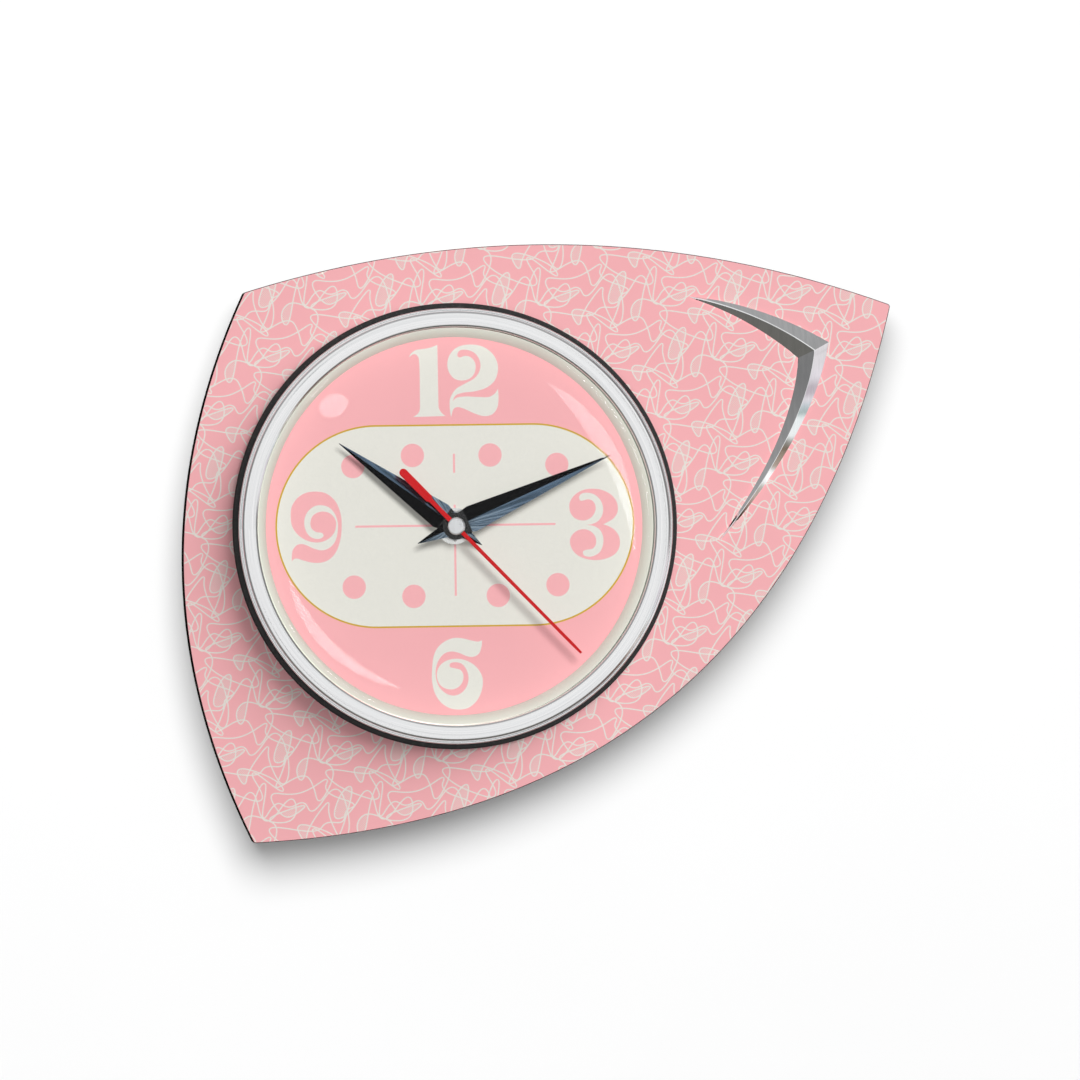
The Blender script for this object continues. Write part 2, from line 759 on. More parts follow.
screw_holes = [circle(1.55, 24, x, z) for x, z in CLIP_POS + HANGER_SCREWS + STUD_POS]
board = add("board_panel", eased_panel(11.2, 20.25, 0.45, screw_holes), "board", "panel_board",
            "backing_board", smooth=35)
sheet = add("laminate_sheet", eased_panel(20.35, FACE, 0.24), "laminate", "laminate",
            "laminate_face", smooth=35)
sheet.data.materials.append(FINISH["core"])
for face in sheet.data.polygons:
    if abs(face.normal.y) < 0.98:
        face.material_index = 1
# the two big faces are dead flat right up to the eased edge
for ob in (board, sheet):
    for face in ob.data.polygons:
        if abs(face.normal.y) > 0.999:
            face.use_smooth = False

# ========================================================= laminate print ==
LINE_WIDTH = 0.46
PRINT_CUT_R = 76.4        # the print stops at this circle round the insert
PRINT_SUNK = FACE - 0.03  # depth of the underside of all print
# the repeat of the motif: two steps of (x, z), and where its first cell lies
STEP_A, STEP_B, CELL_START = (42.0, 0.0), (20.6, 20.4), (3.0, -4.0)
CELL_REACH = (34, 20)     # half axes of the oval that one motif keeps inside
SHIFTS = np.array([(STEP_A[0] * i + STEP_B[0] * j, STEP_B[1] * j)
                   for i in range(-2, 3) for j in range(-2, 3)])
# a turn is drawn below the first share that fits: share, degrees of turn, run
TURNS = [(0.45, (125, 165), (10, 21)), (0.75, (60, 110), (4.5, 8)), (1.0, (10, 50), (5, 11))]


def catmull(points, steps):
    """Smooth closed curve through the points; a third item marks a sharp corner."""
    count, out = len(points), []
    for i in range(count):
        p0, p1, p2, p3 = (points[(i + k) % count] for k in (-1, 0, 1, 2))
        if len(p1) > 2:
            p0 = p1
        if len(p2) > 2:
            p3 = p2
        a0, a1, a2, a3 = (Vector(p[:2]) for p in (p0, p1, p2, p3))

        def gap(u, v):
            return max((u - v).length ** 0.5, 1e-6)
        t1 = gap(a0, a1) if a0 != a1 else gap(a1, a2)
        t2 = gap(a1, a2)
        t3 = gap(a2, a3) if a2 != a3 else t2
        m1 = m2 = (a2 - a1) / t2
        if a0 != a1:
            m1 = (a1 - a0) / t1 - (a2 - a0) / (t1 + t2) + (a2 - a1) / t2
        if a2 != a3:
            m2 = (a2 - a1) / t2 - (a3 - a1) / (t2 + t3) + (a3 - a2) / t3
        m1, m2 = m1 * t2, m2 * t2
        for k in range(steps):
            t = k / steps
            h = (2 * t ** 3 - 3 * t ** 2 + 1) * a1 + (t ** 3 - 2 * t ** 2 + t) * m1 \
                + (-2 * t ** 3 + 3 * t ** 2) * a2 + (t ** 3 - t ** 2) * m2
            out.append((h.x, h.y))
    return out


def resample(loop, step):
    """Closed loop with evenly spaced points, about a step apart."""
    points = np.array(loop + [loop[0]], float)
    lengths = np.hypot(*np.diff(points, axis=0).T)
    travelled = np.concatenate([[0], np.cumsum(lengths)])
    count = max(8, int(round(travelled[-1] / step)))
    wanted = np.linspace(0, travelled[-1], count + 1)
    return np.stack([np.interp(wanted, travelled, points[:, k]) for k in (0, 1)], 1)[:-1]


def bspline(points, steps=14):
    """Closed quadratic B-spline: near-straight sweeps with rounded turns."""
    count, out = len(points), []
    for i in range(count):
        a, b, c = points[i - 1], points[i], points[(i + 1) % count]
        for k in range(steps):
            t = k / steps
            w0, w1, w2 = 0.5 * (1 - t) ** 2, 0.5 * (-2 * t * t + 2 * t + 1), 0.5 * t * t
            out.append((a[0] * w0 + b[0] * w1 + c[0] * w2, a[1] * w0 + b[1] * w1 + c[1] * w2))
    return out


def scribble(seed, count=54, tries=36):
    """One closed wandering doodle that fills its own repeat evenly."""
    rng = random.Random(seed)
    points, marks = [(0.0, 0.0)], [(0.0, 0.0)]
    heading = rng.uniform(0, TAU)

    def gap(place, placed):
        """Distance to the nearest mark, counting the marks of the repeats around."""
        away = placed[:, None, :] + SHIFTS[None] - np.array(place)
        return float(np.hypot(away[..., 0], away[..., 1]).min())
    for _ in range(count - 1):
        x, z = points[-1]
        placed, best = np.array(marks), None
        for _try in range(tries):
            draw = rng.random()
            turns, runs = next(t[1:] for t in TURNS if draw < t[0])
            turn, run = rng.uniform(*turns), rng.uniform(*runs)
            turn = math.radians(turn) * rng.choice((-1, 1))
            nx, nz = x + run * math.cos(heading + turn), z + run * math.sin(heading + turn)
            if (nx / CELL_REACH[0]) ** 2 + (nz / CELL_REACH[1]) ** 2 > 1:
                continue
            middle = ((x + nx) / 2, (z + nz) / 2)
            score = min(gap((nx, nz), placed), 7.0) + 0.6 * min(gap(middle, placed), 6.0)
            if best is None or score > best[0]:
                best = (score, turn, nx, nz, middle)
        if best is None:
            heading += 2.0
            continue
        heading += best[1]
        points.append((best[2], best[3]))
        marks += [points[-1], best[4]]
    curve = resample(bspline(points), 0.5)
    for _ in range(3):
        curve = 0.5 * curve + 0.25 * (np.roll(curve, 1, axis=0) + np.roll(curve, -1, axis=0))
    return resample([tuple(v) for v in curve], 0.6)


def inner_loops(curve):
    """Stretches of the curve that close on themselves with no smaller loop inside."""
    count = len(curve)
    d = np.roll(curve, -1, axis=0) - curve
    hits = []
    for i in range(count):
        j = np.arange(i + 2, count if i else count - 1)
        if len(j) == 0:
            continue
        r, s, q = d[i], d[j], curve[j] - curve[i]
        cross = r[0] * s[:, 1] - r[1] * s[:, 0]
        cross = np.where(abs(cross) < 1e-12, 1e-12, cross)
        t = (q[:, 0] * s[:, 1] - q[:, 1] * s[:, 0]) / cross
        u = (q[:, 0] * r[1] - q[:, 1] * r[0]) / cross
        for k in np.nonzero((t >= 0) & (t < 1) & (u >= 0) & (u < 1))[0]:
            hits.append((i, int(j[k]), curve[i] + r * t[k]))
    loops = []
    for i, j, crossing in hits:
        if j - i > count * 0.5:
            continue
        if any(i < start and end < j for start, end, _ in hits):
            continue
        loops.append([tuple(crossing)] + [tuple(v) for v in curve[i + 1:j + 1]])
    return loops


def area(loop):
    return 0.5 * sum(a[0] * b[1] - b[0] * a[1] for a, b in neighbours(loop))


# the panel's outline as half planes: points and inward normals
HULL = np.array(OUTLINE)
HULL_EDGE = np.roll(HULL, -1, axis=0) - HULL
HULL_NORMAL = np.stack([-HULL_EDGE[:, 1], HULL_EDGE[:, 0]], 1)
HULL_NORMAL = HULL_NORMAL / np.hypot(*HULL_EDGE.T)[:, None]


def inside_by(places):
    """Distance of each place inside every edge of the panel, negative outside."""
    return ((places[:, None, :] - HULL[None]) * HULL_NORMAL[None]).sum(2)


def clip_to_panel(loop, inset=0.30):
    """Trim a polygon to the panel's convex outline; returns [] if nothing is left."""
    inside = inside_by(np.array(loop, float)) - inset
    if inside.min() >= 0:
        return loop
    for k in np.nonzero(inside.min(0) < 0)[0]:
        if len(loop) < 3:
            return []
        (hx, hz), (nx, nz) = HULL[k], HULL_NORMAL[k]
        depths = [float((p[0] - hx) * nx + (p[1] - hz) * nz) - inset for p in loop]
        out = []
        for i in range(len(loop)):
            p, q, dp, dq = loop[i - 1], loop[i], depths[i - 1], depths[i]
            if (dp >= 0) != (dq >= 0):
                t = dp / (dp - dq)
                out.append((p[0] + (q[0] - p[0]) * t, p[1] + (q[1] - p[1]) * t))
            if dq >= 0:
                out.append(q)
        loop = out
    return loop if len(loop) >= 3 else []


def print_cells():
    """Places of the motif's repeats that reach the panel."""
    places = [(STEP_A[0] * i + STEP_B[0] * j + CELL_START[0], STEP_B[1] * j + CELL_START[1])
              for i in range(-6, 8) for j in range(-8, 8)]
    return [p for p in places if inside_by(np.array([p])).min() >= -30]


MOTIF = scribble(5)
LOOPS = [loop for loop in inner_loops(MOTIF) if 4 < abs(area(loop)) < 60]
CELLS = print_cells()


def print_line(bm, cell, middle, side):
    """One repeat of the line, as a strip a little proud of the face."""
    count = len(middle)
    radius = np.hypot(*middle.T)
    inside = inside_by(middle).min(1)
    edges = (middle - side, middle + side)
    # cells and stretches differ in height, so that crossing lines never share a plane
    wave = 0.5 + 0.5 * np.sin(np.arange(count) * TAU * 5 / count)
    top = FACE + (0.012 + 0.0012 * (cell % 5) + 0.006 * wave)
    alive = (radius > PRINT_CUT_R) & (inside > -0.5)
    made = {}

    def vert(index, corner):
        """Corners 0 and 1 are the two edges on top, 2 and 3 the same underneath."""
        if (index, corner) not in made:
            x, z = edges[corner % 2][index]
            depth = top[index] if corner < 2 else PRINT_SUNK
            made[index, corner] = bm.verts.new(point(x, z, depth))
        return made[index, corner]
    for i in range(count):
        j = (i + 1) % count
        if not (alive[i] and alive[j]):
            continue
        if inside[i] > LINE_WIDTH and inside[j] > LINE_WIDTH:
            a0, b0, a1, b1 = vert(i, 0), vert(i, 1), vert(j, 0), vert(j, 1)
            e0, f0, e1, f1 = vert(i, 2), vert(i, 3), vert(j, 2), vert(j, 3)
            for corners in ((a0, b0, b1, a1), (a0, a1, e1, e0), (b1, b0, f0, f1),
                            (e0, e1, f1, f0)):
                bm.faces.new(corners)
            continue
        low, high = edges
        piece = clip_to_panel([tuple(low[i]), tuple(low[j]), tuple(high[j]), tuple(high[i])])
        if len(piece) >= 3 and abs(area(piece)) > 1e-4:
            upper = [bm.verts.new(point(x, z, top[i])) for x, z in piece]
            lower = [bm.verts.new(point(x, z, PRINT_SUNK)) for x, z in piece]
            bm.faces.new(upper)
            bm.faces.new(lower[::-1])
            for (u0, u1), (l0, l1) in zip(neighbours(upper), neighbours(lower)):
                bm.faces.new((u0, l0, l1, u1))


def print_lines():
    along = np.roll(MOTIF, -1, axis=0) - np.roll(MOTIF, 1, axis=0)
    along /= np.hypot(*along.T)[:, None]
    side = np.stack([-along[:, 1], along[:, 0]], 1) * LINE_WIDTH / 2
    bm = bmesh.new()
    for cell, place in enumerate(CELLS):
        print_line(bm, cell, MOTIF + place, side)
    # cap the strips that end at the insert
    bmesh.ops.holes_fill(bm, edges=[e for e in bm.edges if e.is_boundary], sides=4)
    return bm


def print_tints():
    """Thin patches that fill the motif's small loops."""
    patches = []
    for cell, (ox, oz) in enumerate(CELLS):
        for k, loop in enumerate(LOOPS):
            patch = [(x + ox, z + oz) for x, z in loop]
            radii = [math.hypot(*p) for p in patch]
            if max(radii) < 79:
                continue
            patch = clip_to_panel(patch)
            if len(patch) < 3 or abs(area(patch)) < 1.5:
                continue
            trim = []
            if min(radii) < 74.6:
                trim = [(CUT, prism(circle(PRINT_CUT_R, 160), 21.0, 22.0))]
            top = FACE + 0.004 + 0.0012 * ((cell + k) % 5)
            patches.append(combine(prism(patch, PRINT_SUNK, top), trim))
    return gathered(patches)


add("laminate_lines", print_lines(), "line", "laminate", smooth=None)
add("laminate_tint", print_tints(), "halftone", "laminate", smooth=None)

# ============================================== insert, gasket and bezel ====
BUSH_HOLE_R = 4.35
# profiles are (radius, depth) corners, followed by the fillet of each corner
add("insert_shell", lathe(rounded(
    [(BUSH_HOLE_R, 16.8), (71.5, 16.8), (71.5, 11.6), (73.2, 11.6), (73.2, 24.1), (77.9, 24.1),
     (77.9, 25.4), (73.2, 25.4), (73.2, 26.7), (71.5, 26.7), (71.5, 18.3), (BUSH_HOLE_R, 18.3)],
    [0.1, 0.6, 0.4, 0.5, 0.3, 0.3, 0.4, 0.3, 0.2, 0.2, 0.4, 0.1], steps=4), 224),
    "white", "white_plastic", "insert_case")
add("gasket", lathe(rounded([(74.05, 21.75), (80.1, 21.75), (80.1, 23.9), (74.05, 23.9)],
                            [0.2, 0.5, 0.7, 0.2], steps=6), 256),
    "rubber", "black_rubber", "gasket_ring")

BEZEL_TOP = 30.8
# radius, downward slope in degrees of the band there, from its inner edge out
BAND_SLOPES = [(71.55, -46.0), (71.7, -42.0), (71.95, -31.0), (72.3, -21.0), (72.8, -9.0),
               (73.6, 0.0), (75.3, 6.0), (75.95, 12.0), (76.2, 22.0), (76.75, 36.0),
               (76.95, 46.0)]
# the rest of the bezel's section: back and rolled outer lip, then the inner edge
BEZEL_LIP = [(73.8, 28.2), (73.8, 25.7), (77.6, 25.7), (77.7, 24.35), (78.05, 24.3),
             (78.2, 24.45), (78.22, 26.6), (78.16, 26.95), (78.0, 27.2), (77.8, 27.3),
             (77.6, 27.28), (77.42, 27.15), (77.3, 26.9), (77.2, 26.7), (77.08, 26.7),
             (77.0, 27.0)]
BEZEL_INNER = [(71.5, 29.0), (71.5, 28.2)]


def bezel_band():
    """The band's slopes summed into a profile, from its outer edge in."""
    radii = np.concatenate([np.linspace(71.55, 72.6, 18), np.linspace(72.7, 76.2, 18),
                            np.linspace(76.25, 76.95, 12)])
    slopes = np.interp(radii, *zip(*BAND_SLOPES))
    depth, band = 0.0, []
    for i, radius in enumerate(radii):
        if i:
            slope = (slopes[i] + slopes[i - 1]) / 2
            depth -= math.tan(math.radians(slope)) * (radius - radii[i - 1])
        band.append((float(radius), depth))
    highest = max(d for _, d in band)
    return [(radius, d + BEZEL_TOP - highest) for radius, d in band][::-1]


add("bezel", lathe(BEZEL_LIP + bezel_band() + BEZEL_INNER, 320), "bezel", "chrome",
    "bezel_ring", smooth=50)

# ========================================================= glass and dial ==
DOME_R, DOME_RISE = 70.8, 5.2
DOME_FRONT, DOME_BACK = 27.9, 27.0  # depths of the two surfaces at the dome's edge
GLASS_FLANGE = [(72.2, 27.86), (73.2, 27.8), (73.4, 27.6), (73.4, 27.2), (73.2, 27.0),
                (72.2, 27.0)]


def dome(edge_depth):
    """Dome profile from the axis to the edge."""
    radii = (DOME_R * i / 40 for i in range(41))
    return [(r, edge_depth + DOME_RISE * (1 - (r / DOME_R) ** 2)) for r in radii]


def glass_back():
    """The back surface from the edge to the axis."""
    radii = (DOME_R * (1 - i / 40) for i in range(41))
    return [(r, DOME_BACK + DOME_RISE * (1 - (r / DOME_R) ** 2)) for r in radii]


add("crystal", lathe(dome(DOME_FRONT) + GLASS_FLANGE + glass_back(), 160), "glass", "glass",
    "lens", smooth=60)
add("chapter_wall", lathe(rounded([(67.8, 19.85), (71.15, 19.85), (71.15, 26.4), (71.08, 26.4)],
                                  [0.15, 0.1, 0.02, 0.02], steps=3), 256),
    "greige", "greige_plastic", "dial_ring")
add("dial_face", lathe([(BUSH_HOLE_R, 18.6), (71.2, 18.6), (71.2, 19.6), (BUSH_HOLE_R, 19.6)],
                       224), "dial", "dial_print", "dial_plate")

FIELD_X, FIELD_Z, FIELD_HALF, FIELD_R = 0.3, 0.2, 28.3, 35.85
GOLD_LINE_R = 36.45


def stadium(radius):
    """Outline of the field: two half circles joined by straight sides."""
    out = []
    for side in (1, -1):
        for i in range(65):
            a = -side * math.pi / 2 + math.pi * i / 64
            out.append((FIELD_X + side * FIELD_HALF + radius * math.cos(a),
                        FIELD_Z + radius * math.sin(a)))
    return out


add("dial_cream_field", prism(stadium(FIELD_R), 19.58, 19.63, [circle(BUSH_HOLE_R, 48)]),
    "cream", "dial_print", smooth=None)
add("dial_gold_line", prism(stadium(GOLD_LINE_R), 19.58, 19.65, [stadium(FIELD_R)]),
    "gold", "dial_print", smooth=None)

# Numeral shapes as (right, down) points on a free grid that is stretched to each
# numeral's box; a third item marks a sharp corner.
GLYPHS = {
    "1": [(11.8, 31.5), (15.5, 26.2), (21.5, 22.2), (30, 20.8), (42, 19.2), (54.5, 15, 1),
          (55, 103, 1), (57.5, 108.5), (61.5, 113), (65.5, 115.7, 1), (16.5, 116.5, 1),
          (22.5, 113), (26.2, 108.5), (27.2, 103, 1), (26.8, 38), (25.5, 32), (21.5, 28),
          (17, 28.3), (13.8, 30.5)],
    "2": [(72, 114.5), (70, 100), (71, 89), (79, 76.5), (92, 69), (108, 60), (115, 47),
          (113, 34), (105, 25), (93, 21.5), (85, 23), (82, 29), (85, 32.2), (93, 30), (101, 32),
          (107.5, 40), (107, 53), (100, 61.5), (88, 64.5), (77, 61.5), (69.5, 52), (67.5, 40),
          (72, 27), (82, 18), (99, 14.3), (119, 17.5), (134, 29), (140.5, 46), (136, 64),
          (125, 74), (108, 79.5), (88, 81.8), (78.5, 85.5), (74.5, 93, 1), (80, 88.5),
          (92, 86.8), (110, 87.6), (127, 87.7), (136, 82.5), (140, 76.5, 1), (140.6, 90),
          (138.5, 103), (131, 112.3), (119, 114.5), (106, 110.8), (92, 104.5), (82, 101.5),
          (76, 103.5), (73.5, 109)],
    "9": [(18, 138, 1), (18, 131), (20, 119), (27, 111), (35, 109.2), (43, 111), (57, 117.3),
          (71, 120.3), (84, 116), (94, 105), (98.5, 88), (98.5, 72), (93, 57), (84, 47.5),
          (73, 43.8), (59, 45), (47, 54), (41, 67), (41.5, 82), (48, 94.5), (58, 100.2),
          (69, 100), (73.8, 95.5), (71, 90.7), (61, 89), (53, 82.5), (51.2, 73), (55, 62),
          (64, 56), (76, 54.5), (88, 59.5), (95.5, 71), (94, 87), (86, 98), (72, 105.5),
          (57, 106.5), (42, 102), (29, 93), (19.5, 79), (17, 63), (19, 46), (28, 32), (42, 23),
          (60, 20.2), (79, 23.7), (95, 37), (104, 59), (105.5, 80), (103, 102), (95, 123.5),
          (83, 136), (69, 141), (54, 141), (38, 137), (26, 133.5), (21, 135)],
    "3": [(60, 15.5), (75, 17.7), (92, 26.5), (102, 41), (102.5, 56), (96, 66.5), (83, 74.5),
          (77, 77.5, 1), (86, 80.5), (97, 87.5), (105, 100), (105, 117), (97, 129), (80, 137),
          (62, 139.2), (43, 136), (28, 128), (19.5, 116), (18, 103), (24, 92.5), (36, 86),
          (48, 86.2), (58, 92), (63.5, 101), (63, 113), (57, 119.3), (46, 121.2), (40.5, 124),
          (41.5, 130), (50, 133.2), (60, 131.7), (70, 125.5), (76, 113), (76.5, 99), (71, 87),
          (61, 80.3), (48, 77.7, 1), (57, 76.7), (68, 71.5), (75.5, 61), (77, 48), (72, 34.5),
          (62, 25.5), (50, 22.3), (39, 24), (35, 29.5), (37, 35.5), (42, 35.7), (50, 33.7),
          (58, 36), (63, 43), (63.5, 53), (57, 64), (47, 69.5), (36, 69.7), (25, 64.5),
          (18.5, 54), (18, 40), (25, 28), (38, 19), (50, 16)],
    "6": [(108.5, 19.5, 1), (107.5, 31), (102, 44), (92, 48.7), (81, 47.5), (66, 41.2),
          (53, 38.8), (41, 42), (31, 52), (25, 67), (24.5, 84), (30, 100), (41, 111.5),
          (55, 116.4), (68, 113), (78.5, 103), (83.3, 87), (80, 72), (71, 60.5), (58, 57.8),
          (50.5, 60), (50, 65.5), (59, 68.4), (69, 71.5), (74, 80), (72.5, 92), (65, 101.5),
          (54, 105.5), (41, 103.5), (31, 96), (26.2, 82), (29, 68), (38, 58), (52, 52.5),
          (66, 51.8), (82, 56), (97, 66), (107, 81), (109, 95), (105, 113), (96, 128),
          (82, 138.5), (66, 141.2), (49, 138.5), (33, 128), (22, 111), (17.5, 90), (18, 68),
          (21.5, 45), (29, 31), (42, 20.5), (58, 15), (74, 16), (90, 20), (102, 22)],
}
# name, glyph, box (left, right, bottom, top), ink, back and front depth
NUMERALS = [
    ("numeral_12a", "1", (-15.5, -2.6, 39.4, 65.2), "cream", 19.58, 19.64),
    ("numeral_12b", "2", (-1.75, 16.6, 39.4, 65.2), "cream", 19.58, 19.64),
    ("numeral_6", "6", (-8.9, 9.5, -65.9, -40.1), "cream", 19.58, 19.64),
    ("numeral_9", "9", (-58.9, -40.6, -12.5, 13.1), "pinkink", 19.61, 19.66),
    ("numeral_3", "3", (41.6, 59.75, -12.9, 12.8), "pinkink", 19.61, 19.66),
]
DOTS = [(-14.8, 25.6), (13.2, 25.4), (-36.3, 21.9), (37.3, 21.7), (-36.4, -21.4),
        (-14.95, -25.0), (15.5, -25.1), (37.1, -21.55)]
# bars of the cross: left, right, bottom, top
CROSS = [(-35.7, -4.4, -0.07, 0.67), (4.4, 36.5, -0.07, 0.67), (-0.2, 0.55, 19.2, 26.0),
         (-0.2, 0.55, 4.6, 7.7), (-0.2, 0.55, -25.0, -4.4)]


def numeral_loop(glyph, left, right, bottom, top):
    curve = catmull(GLYPHS[glyph], 6)
    xs, ys = zip(*curve)
    wide = (right - left) / (max(xs) - min(xs))
    high = (top - bottom) / (max(ys) - min(ys))
    return [(left + (x - min(xs)) * wide, top - (y - min(ys)) * high) for x, y in curve]


for name, glyph, edges, finish, back, front in NUMERALS:
    add(name, prism(numeral_loop(glyph, *edges), back, front), finish, "dial_print",
        smooth=None)
marks = [circle(4.2, 56, x, z) for x, z in DOTS] + [box_loop(*bar) for bar in CROSS]
add("dial_marks", gathered([to_mesh(prism(loop, 19.61, 19.66), "mark") for loop in marks]),
    "pinkink", "dial_print", smooth=None)

# ================================================================== hands ==
HAND_HALF_WIDTH, HAND_SHOULDER = 4.8, 6.5  # widest half width, its distance from the axis
TAIL_HALF_WIDTH, TIP_HALF_WIDTH = 0.12, 0.10


def on_hand(across, along, clockwise):
    """Point along a hand and across to its right, turned clockwise from twelve."""
    a = math.radians(clockwise)
    return (across * math.cos(a) + along * math.sin(a),
            -across * math.sin(a) + along * math.cos(a))


def ridged_hand(name, length, tail, clockwise, back, edge, ridge, bore, boss, body, stands):
    """Dauphine hand: two long facets meeting on a centre ridge, tapering to both ends."""
    stations = []
    for i in range(13):
        t = i / 12
        stations.append((-tail + (HAND_SHOULDER + tail) * t,
                         TAIL_HALF_WIDTH + (HAND_HALF_WIDTH - TAIL_HALF_WIDTH) * t))
    for i in range(1, 29):
        t = i / 28
        stations.append((HAND_SHOULDER + (length - HAND_SHOULDER) * t,
                         HAND_HALF_WIDTH + (TIP_HALF_WIDTH - HAND_HALF_WIDTH) * t))
    sections = []
    for along, half in stations:
        top = edge + (ridge - edge) * min(1.0, 0.18 + half / 3.2)
        section = ((-half, back), (-half, edge), (-half * 0.02, top), (half * 0.02, top),
                   (half, edge), (half, back))
        sections.append([point(*on_hand(across, along, clockwise), d) for across, d in section])
    mesh = combine(loft(sections), [(JOIN, prism(circle(boss, 72), back, ridge + 0.02)),
                                    (CUT, prism(circle(bore, 48), back - 1, ridge + 1))])
    add(name, mesh, "hand", "hand_black", stands, body, smooth=12)
    mesh.materials.append(FINISH["boss"])
    for face in mesh.polygons:
        if math.hypot(face.center.x, face.center.z) < boss * MM * 1.001:
            face.material_index = 1


ridged_hand("hand_hour", length=51.3, tail=11.7, clockwise=306.06, back=23.2, edge=23.45,
            ridge=24.3, bore=2.5, boss=4.9, body="hour_arbor", stands="hour_hand")
ridged_hand("hand_minute", length=61.5, tail=15.0, clockwise=66.18, back=24.65, edge=24.9,
            ridge=25.8, bore=1.55, boss=4.7, body="minute_arbor", stands="minute_hand")

SECOND_CLOCKWISE = 136.05
# second hand: distance along it, half width; needle, round hub, bar counterweight
SECOND_HALF = [
    (64.1, 0.42), (60.0, 0.55), (30.0, 0.62), (6.0, 0.70), (2.9, 0.74), (2.72, 1.15), (2.0, 2.1),
    (1.1, 2.7), (0.0, 2.9), (-1.1, 2.7), (-2.0, 2.1), (-2.72, 1.15), (-2.95, 0.85),
    (-8.0, 0.82), (-12.9, 0.80), (-13.3, 0.95), (-13.7, 1.40), (-20.0, 1.45), (-26.95, 1.45),
    (-27.5, 1.34), (-27.95, 1.05), (-28.25, 0.65), (-28.4, 0.2)]
loop = [on_hand(half, along, SECOND_CLOCKWISE) for along, half in SECOND_HALF]
loop += [on_hand(-half, along, SECOND_CLOCKWISE) for along, half in SECOND_HALF[::-1]]
add("hand_second", prism(loop[::-1], 26.1, 26.72, [circle(0.7, 32)]), "red", "red_paint",
    "second_hand", "seconds_arbor", smooth=40, bevel=0.14)
add("hand_cap", lathe([(0.0, 27.15), (3.0, 27.15), (3.2, 27.3), (3.22, 27.7), (3.1, 28.0),
                       (2.75, 28.22), (2.2, 28.38), (1.2, 28.55), (0.5, 28.62), (0.0, 28.64)],
                      96), "cap", "chrome", "second_hand_cap", "seconds_arbor")

# bush nut with chamfered corners, and its washer
hexagon = circle(5.6, 6, phase=math.pi / 6)
chamfer = lathe([(0.0, 20.6), (4.95, 20.6), (5.7, 20.95), (5.7, 22.0), (5.0, 22.45),
                 (0.0, 22.45)], 96)
add("nut_hex", combine(prism(hexagon, 20.7, 22.4, [circle(BUSH_HOLE_R, 64)]),
                       [(KEEP_COMMON, chamfer)]), "cap", "brass", "bush_nut", smooth=25)
add("washer_flat", lathe(rounded([(BUSH_HOLE_R, 19.9), (6.6, 19.9), (6.6, 20.4),
                                  (BUSH_HOLE_R, 20.4)], 0.1, steps=3), 96),
    "nickel", "brass", "bush_washer")

# =============================================================== ornament ==
TIP_UPPER, TIP_LOWER = (85.9, 81.3), (95.7, -6.2)
# outer edge, ridge and inner edge at the corner and at the middle of each arm
CORNER = ((136.2, 64.5), (130.5, 61.6), (124.9, 58.9))
MID_UPPER = ((111.3, 75.9), (109.1, 73.9), (106.4, 71.9))
MID_LOWER = ((123.0, 29.9), (120.1, 29.9), (116.6, 28.5))
ARM_STEPS = 56
TRIM_BACK, TRIM_EDGE = 21.8, 22.8  # depths of the back and of the facets' foot
TRIM_LIP = 0.12                    # eased lower edge


def lerp(p, q, t):
    return (p[0] + (q[0] - p[0]) * t, p[1] + (q[1] - p[1]) * t)


def through(a, m, b, t):
    """Parabola from a to b that passes through m half way."""
    k = 4 * t * (1 - t)
    cx, cz = (a[0] + b[0]) / 2, (a[1] + b[1]) / 2
    return ((1 - t) * a[0] + t * b[0] + k * (m[0] - cx),
            (1 - t) * a[1] + t * b[1] + k * (m[1] - cz))


def trim_rails():
    """Stations from the upper tip to the lower: (outer, ridge, inner), share of arm."""
    rails = []
    for i in range(ARM_STEPS + 1):
        t = i / ARM_STEPS
        rails.append(([through(TIP_UPPER, MID_UPPER[k], CORNER[k], t) for k in range(3)], t))
    for i in range(1, ARM_STEPS + 1):
        t = i / ARM_STEPS
        rails.append(([through(CORNER[k], MID_LOWER[k], TIP_LOWER, t) for k in range(3)],
                      1 - t))
    return rails


def trim_section(rails, index):
    (outer, ridge, inner), share = rails[index]
    share = max(share, 0.015)
    beside = rails[index - 1 if index else 1][0][1]
    tx, tz = ridge[0] - beside[0], ridge[1] - beside[1]
    length = math.hypot(tx, tz) * (1 if index else -1)
    # the tips stay a little wider than a knife point
    extra = 0.25 * max(0.0, 1.0 - share / 0.4) * min(1.0, 0.4 + share / 0.05)
    outer = (outer[0] - tz / length * extra, outer[1] + tx / length * extra)
    inner = (inner[0] + tz / length * extra, inner[1] - tx / length * extra)
    # the outer facet keeps one slope along each arm, up to a greatest rise
    width = abs((outer[0] - ridge[0]) * tz - (outer[1] - ridge[1]) * tx) / abs(length)
    top = TRIM_EDGE + (min(3.35, 0.74 * width) + 0.04)
    # a hair-wide flat on the ridge, narrower on the lower arm
    flat = 0.20
    if index > ARM_STEPS:
        flat = 0.07 + 0.05 * min(1.0, (index - ARM_STEPS) / 20)
    flat_outer, flat_inner = (
        lerp(ridge, edge, min(0.30, flat / max(math.dist(ridge, edge), 1e-3)))
        for edge in (outer, inner))
    section = [(outer, TRIM_BACK), (outer, TRIM_EDGE - TRIM_LIP),
               (lerp(outer, ridge, 0.02), TRIM_EDGE), (flat_outer, top), (flat_inner, top),
               (lerp(inner, ridge, 0.02), TRIM_EDGE), (inner, TRIM_EDGE - TRIM_LIP),
               (inner, TRIM_BACK)]
    return [point(*place, d) for place, d in section]


